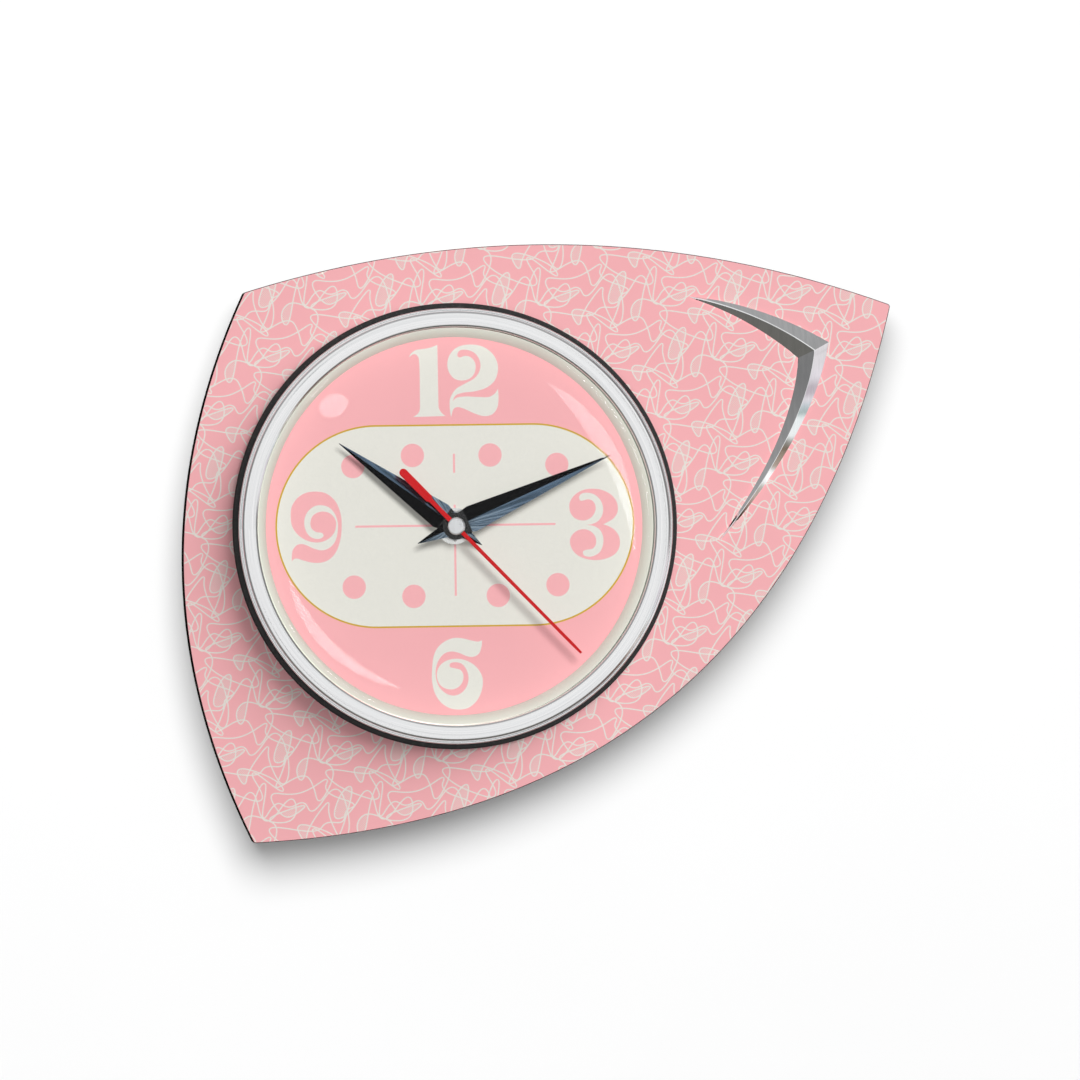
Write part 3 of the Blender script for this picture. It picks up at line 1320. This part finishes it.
def stud(x, z):
    """Stud behind the ornament, ribbed where the push nut grips."""
    profile = [(0.0, 9.0), (0.9, 9.0), (1.15, 9.25)]
    for d in pitches(9.6, 13.2, 0.5):
        profile += [(1.15, d), (1.0, d + 0.12), (1.15, d + 0.24)]
    return lathe(profile + [(1.15, 22.6), (0.0, 22.6)], 28, x, z)


rails = trim_rails()
add("ornament_trim", combine(loft([trim_section(rails, i) for i in range(len(rails))]),
                             [(JOIN, stud(x, z)) for x, z in STUD_POS]),
    "trim", "chrome", "ornament", smooth=14)
PUSH_NUT = [(1.25, 9.95), (1.9, 10.35), (3.6, 10.45), (4.2, 10.75), (4.2, 10.92), (3.4, 10.72),
            (1.9, 10.6), (1.25, 10.2)]
for k, (x, z) in enumerate(STUD_POS, 1):
    slit = box(x - 2.4, x + 2.4, z - 0.22, z + 0.22, 9.0, 12.0)
    add(f"push_nut_{k}_cap", combine(lathe(PUSH_NUT, 64, x, z), [(CUT, slit)]),
        "steel", "steel", f"push_nut_{k}", smooth=40)

# =============================================================== movement ==
SETTING_AXIS = (14.805, -2.6)
MINUTE_AXIS = (6.928, -4.0)
CASE_HALF, CAVITY_HALF = 28.0, 26.8
BAY_TOP, BAY_WALL = -12.1, 1.2     # top of the cell bay, wall between bay and works
CELL_Z, CELL_DEPTH = -19.45, 7.6   # axis of the cell


def x_cylinder(radius, length, x, z, d):
    bm = bmesh.new()
    bmesh.ops.create_cone(bm, cap_ends=True, segments=72, radius1=radius * MM,
                          radius2=radius * MM, depth=length * MM)
    bmesh.ops.rotate(bm, verts=bm.verts, cent=(0, 0, 0),
                     matrix=Matrix.Rotation(math.pi / 2, 3, "Y"))
    bmesh.ops.translate(bm, verts=bm.verts, vec=point(x, z, d))
    return bm


def snap_window(x, z):
    bm = bmesh.new()
    bmesh.ops.create_cube(bm, size=1.0)
    bmesh.ops.scale(bm, verts=bm.verts, vec=(3 * MM, 2.0 * MM, 5.0 * MM))
    bmesh.ops.translate(bm, verts=bm.verts, vec=point(x, z, 4.2))
    return bm


def bush_thread():
    profile = [(3.6, 17.0)]
    for d in pitches(17.2, 22.3, 0.75):
        profile += [(3.86, d), (4.12, d + 0.22), (4.12, d + 0.3), (3.86, d + 0.5)]
    return lathe(profile + [(3.6, 22.6)], 72)


def movement_shell():
    cavity = CAVITY_HALF
    steps = [(CUT, box(-cavity, cavity, BAY_TOP + BAY_WALL, cavity, 0.5, 15.0, 1.8)),
             (CUT, box(-cavity, cavity, -cavity, BAY_TOP, 0.5, 15.0, 1.8)),
             (JOIN, prism(circle(4.0, 64), 16.0, 22.9)),
             (JOIN, bush_thread()),
             (CUT, prism(circle(2.55, 56), 13.5, 24.0))]
    # finger notches below the bay
    steps += [(CUT, prism(circle(5.0, 40, side * 8.0, -29.6), 0.5, 7.0)) for side in (-1, 1)]
    # cradle ribs, saddled to the cell's radius
    steps += [(JOIN, box(x, x + 1.4, -26.9, -11.9, 10.0, 15.2)) for x in (-12.0, 10.6)]
    steps.append((CUT, x_cylinder(7.3, 50.5, -0.1, CELL_Z, CELL_DEPTH)))
    steps += [(CUT, snap_window(side * CASE_HALF, z)) for side in (-1, 1)
              for z in (-20.0, 14.0)]
    # bosses that carry the minute wheel and the setting arbor
    for axis, bore in ((MINUTE_AXIS, 0.85), (SETTING_AXIS, 1.15)):
        steps.append((JOIN, prism(circle(bore + 0.7, 32, *axis), 13.7, 15.2,
                                  [circle(bore, 24, *axis)])))
    return combine(box(-CASE_HALF, CASE_HALF, -CASE_HALF, CASE_HALF, 1.7, 16.5, 3.0), steps)


def rear_lid():
    """Rear cover: recessed label panel, vent slots, ring groove, four inner bosses."""
    steps = [(CUT, box(-24.0, 6.5, 14.5, 25.5, -0.5, 0.28, 1.0))]
    for i in range(6):
        z = -8.0 + i * 2.6
        steps.append((CUT, box(-23.0, -9.0, z, z + 1.1, -1.0, 2.0, 0.5)))
    steps.append((CUT, lathe([(6.4, -0.3), (7.0, -0.3), (7.0, 0.35), (6.4, 0.35)], 96,
                             *SETTING_AXIS)))
    for axis in ((0.0, 0.0), (-6.83, 9.745), (6.42, 5.417), (14.305, 8.314)):
        steps.append((JOIN, prism(circle(1.4, 28, *axis), 1.2, 2.3,
                                  [circle(0.75, 20, *axis)])))
    return combine(prism(box_loop(-27.7, 27.7, -11.7, 27.7, 2.7), 0.0, 1.4,
                         [circle(5.2, 72, *SETTING_AXIS)]), steps)


def setting_knob():
    """Knurled rim and a dished back with a hub."""
    rim = []
    for i in range(144):
        a = TAU * i / 144
        radius = 4.6 if i % 4 < 2 else 4.28
        rim.append((SETTING_AXIS[0] + radius * math.cos(a),
                    SETTING_AXIS[1] + radius * math.sin(a)))
    dish = prism(circle(3.6, 64, *SETTING_AXIS), -0.5, 0.75, [circle(1.9, 40, *SETTING_AXIS)])
    return combine(prism(rim, 0.3, 2.3, [circle(1.15, 40, *SETTING_AXIS)]), [(CUT, dish)])


add("movement_shell", movement_shell(), "shell", "black_plastic", "movement_case", smooth=32)
add("rear_lid", rear_lid(), "shell", "black_plastic", "rear_cover", smooth=32)
add("knob_set", setting_knob(), "white", "white_plastic", "setting_knob", "setting_shaft")

# (x, radius) profiles of the pieces that lie along x
CELL_PROFILE = [(-24.9, 0.0), (-24.9, 2.3), (-24.7, 2.6), (-23.75, 2.65), (-23.7, 5.9),
                (-23.55, 6.6), (-23.3, 6.95), (-22.9, 7.1), (23.9, 7.1), (24.3, 6.95),
                (24.5, 6.6), (24.55, 6.1), (24.4, 5.7), (24.4, 4.6), (24.6, 4.3), (24.6, 0.0)]
CAN_PROFILE = [(-23.0, 0.0), (-23.0, 0.85), (-22.9, 0.95), (-22.6, 1.1), (-15.6, 1.1),
               (-15.4, 1.16), (-15.15, 1.16), (-15.0, 1.0), (-15.0, 0.0)]
coil_profile = [(9.0, 1.5), (9.0, 3.1), (9.7, 3.1), (9.7, 2.6)]
for x in pitches(9.75, 19.7, 0.22):
    coil_profile += [(x, 2.5), (x + 0.11, 2.62)]
coil_profile += [(19.8, 2.6), (19.8, 3.1), (20.5, 3.1), (20.5, 1.5)]
add("cell_aa", lathe_x(CELL_PROFILE, 96, CELL_Z, CELL_DEPTH), "cell", "cell_sleeve",
    "battery_cell", "battery", smooth=35)
add("coil_wire", lathe_x(coil_profile, 56, 23.5, 7.0), "winding", "copper_wire",
    "coil_winding", smooth=None)
add("crystal_can", lathe_x(CAN_PROFILE, 48, 20.5, 13.1), "nickel", "steel",
    "quartz_crystal", smooth=35)

# =========================================================== back fixings ==
SHANK_R = 1.1


def screw(x, z, head, tip, head_r):
    """Pan head with a cross recess and a coarse wood thread."""
    profile = [(0.0, head)]
    for i in range(1, 7):
        a = math.pi / 2 * i / 6
        profile.append((head_r * math.sin(a), head + 1.3 * (1 - math.cos(a))))
    profile += [(head_r, head + 1.5), (head_r - 0.12, head + 1.6), (SHANK_R, head + 1.6)]
    for d in pitches(head + 2.4, tip - 2.0, 0.9):
        profile += [(SHANK_R - 0.18, d), (SHANK_R + 0.22, d + 0.35), (SHANK_R - 0.18, d + 0.7)]
    profile += [(SHANK_R - 0.18, tip - 1.5), (0.0, tip)]
    slot_half, slot_reach = 0.32, head_r * 0.55
    cross = [(CUT, box(x - across, x + across, z - up, z + up, head - 0.5, head + 0.95))
             for across, up in ((slot_half, slot_reach), (slot_reach, slot_half))]
    return combine(lathe(profile, 40, x, z), cross)


def clip_loop(angle):
    """Radial strip with a rounded outer end."""
    strip = [(71.8, -3.2), (72.1, -3.5), (85.6, -3.5)]
    for i in range(1, 7):
        t = math.pi / 2 * i / 6
        strip.append((85.6 + 2.4 * math.sin(t), -3.5 + 2.4 * (1 - math.cos(t))))
    strip += [(radius, -side) for radius, side in strip[::-1]]
    ca, sa = math.cos(angle), math.sin(angle)
    return [(radius * ca - side * sa, radius * sa + side * ca) for radius, side in strip]


for k, ((x, z), angle) in enumerate(zip(CLIP_POS, CLIP_ANGLES), 1):
    add(f"screw_clip_{k}", screw(x, z, head=8.1, tip=18.5, head_r=3.0), "steel", "steel",
        f"clip_screw_{k}")
    add(f"clip_{k}", prism(clip_loop(math.radians(angle)), 10.0, 10.9, [circle(1.7, 36, x, z)]),
        "nickel", "steel", f"retainer_clip_{k}", bevel=0.15)
for k, (x, z) in enumerate(HANGER_SCREWS, 1):
    add(f"screw_hanger_{k}", screw(x, z, head=0.1, tip=16.0, head_r=2.8), "steel", "steel",
        f"hanger_screw_{k}")

add("hanger_timber",
    prism(box_loop(HANGER_X - 20, HANGER_X + 20, HANGER_Z0, HANGER_Z1, 1.5), 3.3, 10.9,
          [circle(1.6, 24, x, z) for x, z in HANGER_SCREWS]
          + [box_loop(HANGER_X - 4.6, HANGER_X + 4.6, HANGER_Z0 + 3.0, HANGER_Z0 + 13.0, 2.0)]),
    "timber", "timber", "hanger_block", bevel=0.35)

KEY_R, KEY_SLOT_R = 3.9, 2.0
KEY_Z, KEY_SLOT_Z = HANGER_Z0 + 6.2, HANGER_Z0 + 11.2


def keyhole():
    """Round opening with a narrower slot above it."""
    half = math.asin(KEY_SLOT_R / KEY_R)
    out = []
    for i in range(41):
        a = math.pi / 2 + half + (TAU - 2 * half) * i / 40
        out.append((HANGER_X + KEY_R * math.cos(a), KEY_Z + KEY_R * math.sin(a)))
    for i in range(17):
        a = math.pi * i / 16
        out.append((HANGER_X + KEY_SLOT_R * math.cos(a), KEY_SLOT_Z + KEY_SLOT_R * math.sin(a)))
    return out


add("hanger_strap",
    prism(box_loop(HANGER_X - 19, HANGER_X + 19, HANGER_Z0 + 0.6, HANGER_Z1 - 0.6, 2.0), 2.0, 3.0,
          [keyhole()] + [circle(1.7, 32, x, z) for x, z in HANGER_SCREWS]),
    "nickel", "steel", "hanger_plate", bevel=0.18)

POST_R = 5.0
for k, (x, z) in enumerate(((-67.0, -97.5), (80.0, -42.0)), 1):
    # name, replaced part, finish, back and front depth, fillets
    for name, part, finish, back, front, fillets in (
            ("post", "spacer_post", "timber", 1.8, 10.9, [0, 0.3, 0.15, 0]),
            ("pad", "spacer_pad", "felt", 0.0, 1.5, [0, 0.35, 0.1, 0])):
        profile = rounded([(0.0, back), (POST_R, back), (POST_R, front), (0.0, front)],
                          fillets, steps=4)
        add(f"{name}_{k}", lathe(profile, 72, x, z), finish, finish, f"{part}_{k}")

# frame parts that keep their shape and take a finish
KEPT_PARTS = {
    "rotor": "natural", "fifth_wheel": "natural", "third_wheel": "white",
    "centre_wheel": "natural", "seconds_wheel": "white", "minute_wheel": "natural",
    "hour_wheel": "white", "cannon_pinion": "brass", "setting_arbor": "white",
    "middle_plate": "white", "rotor_magnet": "magnet", "stator": "nickel",
    "coil_core": "nickel", "circuit_board": "circuit", "contact_positive": "nickel",
    "contact_negative": "nickel",
}
for name, finish in KEPT_PARTS.items():
    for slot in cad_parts[name].material_slots:
        slot.material = FINISH[finish]

# ========================================================== studio: sweep ==
# from here on lengths are metres, except where the glass is measured
PRODUCT = [o for o in SCENE.objects if o.type == "MESH"]
WALL_Y, FLOOR_Z, FLOOR_FRONT_Y = 0.0004, -0.62, -2.6
SWEEP_HALF_WIDTH, SWEEP_TOP, SWEEP_R = 2.4, 1.9, 0.25


def stage_mesh(name, bm, material):
    mesh = bpy.data.meshes.new(name)
    bm.to_mesh(mesh)
    bm.free()
    mesh.materials.append(material)
    ob = bpy.data.objects.new(name, mesh)
    SCENE.collection.objects.link(ob)
    return ob


def studio_white():
    """Matt surface that is clear from behind, so that the back can be looked at."""
    rgb = (0.90, 0.90, 0.90)
    m = Material("studio_white", shader="MixShader")
    colour = m.tone(m.noise(8, detail=2), shade(rgb, 0.995), rgb, span=(0.4, 0.6))
    matt = m.node("BsdfDiffuse", {0: colour})
    clear = m.node("BsdfTransparent")
    backfacing = m.node("NewGeometry").outputs["Backfacing"]
    shadow = m.node("LightPath").outputs["Is Shadow Ray"]
    share = m.math("MULTIPLY", m.math("SUBTRACT", 1.0, backfacing),
                   m.math("SUBTRACT", 1.0, shadow))
    for index, value in enumerate((share, clear.outputs[0], matt.outputs[0])):
        m.put(m.shader.inputs[index], value)
    return m.material


def sweep_shape():
    """Wall just behind the wall plane, rolling into a floor well below the clock."""
    profile = [(WALL_Y, SWEEP_TOP), (WALL_Y, FLOOR_Z + SWEEP_R)]
    for i in range(1, 17):
        a = math.pi / 2 * i / 16
        profile.append((WALL_Y - SWEEP_R * (1 - math.cos(a)),
                        FLOOR_Z + SWEEP_R * (1 - math.sin(a))))
    profile.append((FLOOR_FRONT_Y, FLOOR_Z))
    bm = bmesh.new()
    rows = [[bm.verts.new((x, y, z)) for x in (-SWEEP_HALF_WIDTH, SWEEP_HALF_WIDTH)]
            for y, z in profile]
    for (a, b), (c, d) in zip(rows, rows[1:]):
        bm.faces.new((a, b, d, c)).smooth = True
    bmesh.ops.recalc_face_normals(bm, faces=bm.faces)
    # the open sheet has to face the clock
    bm.faces.ensure_lookup_table()
    if bm.faces[0].normal.y > 0:
        bmesh.ops.reverse_faces(bm, faces=bm.faces)
    return bm


wall = stage_mesh("studio_sweep", sweep_shape(), studio_white())
wall.visible_glossy = wall.visible_diffuse = False

# ========================================================== studio: world ==
# Slanted light strips on the right, which the ornament's lower arm reflects:
# position from low to high, display colour.
STRIPS = [
    (0.04, (100, 80, 75)), (0.16, (105, 85, 75)), (0.19, (120, 90, 60)), (0.205, (75, 55, 45)),
    (0.225, (72, 52, 42)), (0.25, (150, 130, 120)), (0.275, (185, 165, 155)),
    (0.31, (178, 176, 168)), (0.325, (255, 255, 255)), (0.36, (255, 255, 255)),
    (0.375, (172, 157, 145)), (0.40, (160, 145, 132)), (0.43, (120, 105, 90)),
    (0.455, (150, 150, 145)), (0.475, (240, 243, 243)), (0.54, (235, 240, 240)),
    (0.56, (165, 180, 178)), (0.585, (190, 200, 205)), (0.61, (225, 220, 225)),
    (0.635, (192, 183, 190)), (0.66, (190, 180, 187)), (0.70, (222, 217, 222)),
    (0.84, (222, 218, 220)), (0.93, (125, 125, 125)), (1.0, (120, 120, 120))]
CHROME_REFLECTS = 0.88     # share of light the chrome gives back
STRIP_RANGE = 0.9          # the strips span heights of -0.9 to 0 per unit to the right
WARMTH = (0.0, -0.02, -0.10)  # change of red, green and blue towards the floor


class WorldTree(NodeTree):
    """A world's tree, with only two inputs set on its Math nodes."""

    math_inputs = 2

    def smooth(self, value, span, to=(0.0, 1.0)):
        return self.map_range(value, to=to, span=span, kind="SMOOTHSTEP")

    def blend(self, a, share_a, b, share_b):
        return self.math("ADD", self.math("MULTIPLY", a, share_a),
                         self.math("MULTIPLY", b, share_b))


def strip_ramp(tree, x, z):
    """Red, green and blue of the strips, by the slope of the view direction."""
    slope = tree.math("DIVIDE", z, tree.math("MAXIMUM", x, 0.05))
    place = tree.math("MULTIPLY", tree.math("ADD", slope, STRIP_RANGE), 1 / STRIP_RANGE,
                      clamp=True)
    ramp = tree.node("ValToRGB", {0: place})
    elements = ramp.color_ramp.elements
    while len(elements) > 1:
        elements.remove(elements[-1])
    elements[0].position = STRIPS[0][0]
    for i, (position, rgb) in enumerate(STRIPS):
        element = elements.new(position) if i else elements[0]
        element.color = (*(c / CHROME_REFLECTS for c in lin(*rgb)), 1)
    return tree.node("SeparateColor", {0: ramp.outputs[0]}).outputs


def tent_colour(tree):
    """A photographer's tent for the chrome: bright front, dim sides, strips on the right."""
    coords = tree.node("TexCoord").outputs["Generated"]
    x, y, z = tree.separate(coords)
    front = tree.smooth(tree.math("MULTIPLY", y, -1.0), span=(0.60, 0.74))
    up = tree.smooth(z, span=(0.15, 0.85), to=(0.0, 0.25))
    right = tree.smooth(x, span=(0.56, 0.74))
    left = tree.smooth(tree.math("MULTIPLY", x, -1.0), span=(0.55, 0.80), to=(0.0, 0.06))
    streak = tree.noise_at(tree.scaled(coords, (1.0, 1.0, 9.0)), scale=1.6, detail=2.0)
    strips = strip_ramp(tree, x, z)
    side = tree.math("ADD", tree.math("ADD", up, 0.155), left)
    warm = tree.smooth(tree.math("MULTIPLY", z, -1.0), span=(0.25, 0.55))
    sides = []
    for strip, change in zip(strips, WARMTH):
        tint = tree.math("ADD", 1.0, tree.math("MULTIPLY", warm, change))
        sides.append(tree.blend(tree.math("MULTIPLY", side, tint),
                                tree.math("SUBTRACT", 1.0, right), strip, right))
    bright = tree.math("ADD", 0.86, tree.smooth(streak, span=(0.3, 0.7), to=(-0.06, 0.10)))
    rest = tree.math("SUBTRACT", 1.0, front)
    channels = {i: tree.blend(value, rest, bright, front) for i, value in enumerate(sides)}
    return tree.node("CombineColor", channels).outputs[0]


def build_world():
    """White to the camera, dim and even to matt surfaces, the tent to glossy ones."""
    world = bpy.data.worlds.new("tent")
    SCENE.world = world
    world.use_nodes = True
    tree = WorldTree(world.node_tree)
    white = (1.0, 1.0, 1.0)
    glossy = tree.node("Background", {0: tent_colour(tree)})
    matt = tree.node("Background", {0: white, 1: 0.085})
    camera_white = tree.node("Background", {0: white, 1: 1.0})
    path = tree.node("LightPath")
    shader = matt
    for ray, other in (("Is Glossy Ray", glossy), ("Is Camera Ray", camera_white)):
        shader = tree.node("MixShader", {0: path.outputs[ray], 1: shader.outputs[0],
                                         2: other.outputs[0]})
    tree.node("OutputWorld", {"Surface": shader.outputs[0]})


build_world()
SCENE.view_settings.view_transform = "Standard"
SCENE.view_settings.look = "None"

# ========================================================= studio: camera ==
# long lens from the left, level with the dial, rolled a touch
CAM_AZIMUTH, CAM_ROLL = math.radians(-5.8), math.radians(0.8)
CAM_DISTANCE, CAM_LENS = 3.235, 300.0
CAM_TARGET = Vector((0.0307, -0.021, -0.0054))


def aim(ob, direction):
    """Point an object's -Z along a direction, with Y up."""
    ob.rotation_mode = "QUATERNION"
    ob.rotation_quaternion = Vector(direction).to_track_quat("-Z", "Y")


cam_data = bpy.data.cameras.new("camera")
cam_data.lens = CAM_LENS
cam_data.sensor_width = 36.0
cam_data.clip_start = 0.05
cam_data.clip_end = 30.0
cam = bpy.data.objects.new("camera", cam_data)
SCENE.collection.objects.link(cam)
backwards = Vector((math.sin(CAM_AZIMUTH), -math.cos(CAM_AZIMUTH), 0.0))
cam.location = CAM_TARGET + backwards * CAM_DISTANCE
cam.rotation_mode = "QUATERNION"
level = (-backwards).to_track_quat("-Z", "Y").to_matrix()
cam.rotation_quaternion = (Matrix.Rotation(-CAM_ROLL, 3, backwards) @ level).to_quaternion()
SCENE.camera = cam

# ========================================================= studio: lights ==
DIAL_GROUP = {"dial_face", "dial_cream_field", "dial_gold_line", "numeral_12a", "numeral_12b",
              "numeral_6", "numeral_9", "numeral_3", "dial_marks", "hand_hour", "hand_minute",
              "hand_second", "hand_cap", "nut_hex", "washer_flat"}
RING = {"chapter_wall"}
INSERT_GROUP = {"bezel", "gasket", "insert_shell"}


def light_set(name, objects):
    made = bpy.data.collections.new(name)
    for ob in objects:
        made.objects.link(ob)
    return made


dial_set = light_set("dial_lit", [o for o in PRODUCT if o.name in DIAL_GROUP])
ring_set = light_set("ring_lit", [o for o in PRODUCT if o.name in RING])
panel_set = light_set("panel_lit", [o for o in PRODUCT if o.name not in DIAL_GROUP | RING])
product_set = light_set("product_lit", PRODUCT)
stage_set = light_set("stage_lit", [wall])
insert_shade = light_set("insert_shade", [o for o in PRODUCT if o.name in INSERT_GROUP])
glass_set = light_set("glass_lit", [o for o in PRODUCT if o.name == "crystal"])
hand_shade = light_set("hand_shade", [o for o in PRODUCT if o.name.startswith("hand_")])


def soft_disk(name, place, size, power, lights, shaded_by=None, target=(0.0, 0.0, 0.0)):
    """Disk light on some objects only, shaded by all or by a few."""
    light = bpy.data.lights.new(name, "AREA")
    light.shape = "DISK"
    light.size = size
    light.energy = power
    ob = bpy.data.objects.new(name, light)
    SCENE.collection.objects.link(ob)
    ob.location = place
    aim(ob, Vector(target) - Vector(place))
    ob.visible_glossy = False
    ob.visible_camera = False
    ob.light_linking.receiver_collection = lights
    if shaded_by:
        ob.light_linking.blocker_collection = shaded_by


def towards(x, z, distance):
    """Place in front of the wall, in the direction x, z per unit forward."""
    return Vector((x, -1.0, z)).normalized() * distance


# the key throws the insert's shade to the lower left of the panel
soft_disk("key", towards(1.62, 1.38, 12.0), size=13.0, power=2840.0,
          lights=panel_set, shaded_by=insert_shade)
# the dial is lit from above, so that the hands' shade falls softly below them
soft_disk("dial_key", towards(0.22, 0.48, 5.0), size=2.1, power=196.0,
          lights=dial_set, shaded_by=hand_shade)
# an even light down the axis for the conical ring round the dial
soft_disk("ring_key", towards(0.05, 0.05, 2.4), size=1.4, power=80.0,
          lights=ring_set, shaded_by=hand_shade)
# a broad raised light for the wall alone gives the soft pool of shade below the panel
soft_disk("wash", towards(-0.04, 0.46, 4.6), size=3.8, power=216.0, lights=stage_set,
          target=(0.02, 0.0, 0.0))
# an even frontal fill that throws no shade of its own
fill_data = bpy.data.lights.new("fill", "SUN")
fill_data.energy = 0.76
fill_data.use_shadow = False
fill_light = bpy.data.objects.new("fill", fill_data)
SCENE.collection.objects.link(fill_light)
aim(fill_light, (0.1, 1.0, -0.1))
fill_light.location = (0.0, -2.0, 0.2)
fill_light.visible_glossy = False
# soft light for the back, seen only when the camera goes behind
soft_disk("rear", (0.5, 1.8, 0.9), size=1.2, power=24.0, lights=product_set)

# ======================================================== glints on glass ==
GLINT_Y = -1.0  # plane of the emitters
# small oval: centre, half axes and tilt, millimetres on the glass
OVAL_X, OVAL_Z = -43.5733, 43.6771
OVAL_LONG, OVAL_SHORT, OVAL_TILT = 5.39205, 4.02606, math.radians(24.2)
# crescents as (x, z) millimetres on the glass; a third item marks a sharp tip
CRESCENT_LOW = [
    (-60.7833, -17.3782, 1), (-58.9643, -26.1395), (-55.2632, -33.9925), (-49.4804, -42.0902),
    (-42.1649, -48.5556), (-32.1810, -54.4471), (-19.6560, -58.5765, 1), (-30.7132, -52.3105),
    (-40.6719, -44.6219), (-47.6280, -38.1615), (-52.5698, -31.6214), (-57.1421, -24.3674)]
CRESCENT_HIGH = [
    (33.2840, 51.0523, 1), (41.9875, 46.1494), (49.7947, 38.8502), (57.2023, 28.6807),
    (62.0738, 17.1085), (64.0397, 3.4198), (64.3854, -13.0144, 1), (61.4885, 0.9389),
    (57.7104, 13.5744), (52.8288, 24.4277), (46.1401, 34.5872), (40.1502, 43.2990)]


def mirrored(x, z):
    """Where the camera's sight line, reflected by the glass at x, z, meets the plane."""
    depth = DOME_FRONT + DOME_RISE * (1 - (x * x + z * z) / DOME_R ** 2)
    slope = 2 * DOME_RISE / DOME_R ** 2
    place = point(x, z, depth)
    normal = Vector((x * slope, -1.0, z * slope)).normalized()
    sight = (cam.location - place).normalized()
    ray = 2 * normal.dot(sight) * normal - sight
    return place + ray * ((GLINT_Y - place.y) / ray.y)


def glint(name, loop, strength):
    """Emitter that only the glass reflects, seen there as the given outline."""
    m = Material(name, shader="Emission")
    m.put(m.shader.inputs[1], strength)
    bm = bmesh.new()
    fill(bm, wire(bm, [mirrored(x, z) for x, z in loop])[1])
    ob = stage_mesh(name, bm, m.material)
    ob.visible_camera = ob.visible_diffuse = ob.visible_shadow = False
    ob.visible_transmission = ob.visible_volume_scatter = False
    ob.light_linking.receiver_collection = glass_set


oval = []
for i in range(40):
    a = TAU * i / 40
    u, v = OVAL_LONG * math.cos(a), OVAL_SHORT * math.sin(a)
    oval.append((OVAL_X + u * math.cos(OVAL_TILT) - v * math.sin(OVAL_TILT),
                 OVAL_Z + u * math.sin(OVAL_TILT) + v * math.cos(OVAL_TILT)))
glint("window_small", oval, strength=24.0)
glint("window_low", catmull(CRESCENT_LOW, 8), strength=28.0)
glint("window_high", catmull(CRESCENT_HIGH, 8), strength=25.0)

# ================================================================= finish ==
bpy.context.view_layer.update()
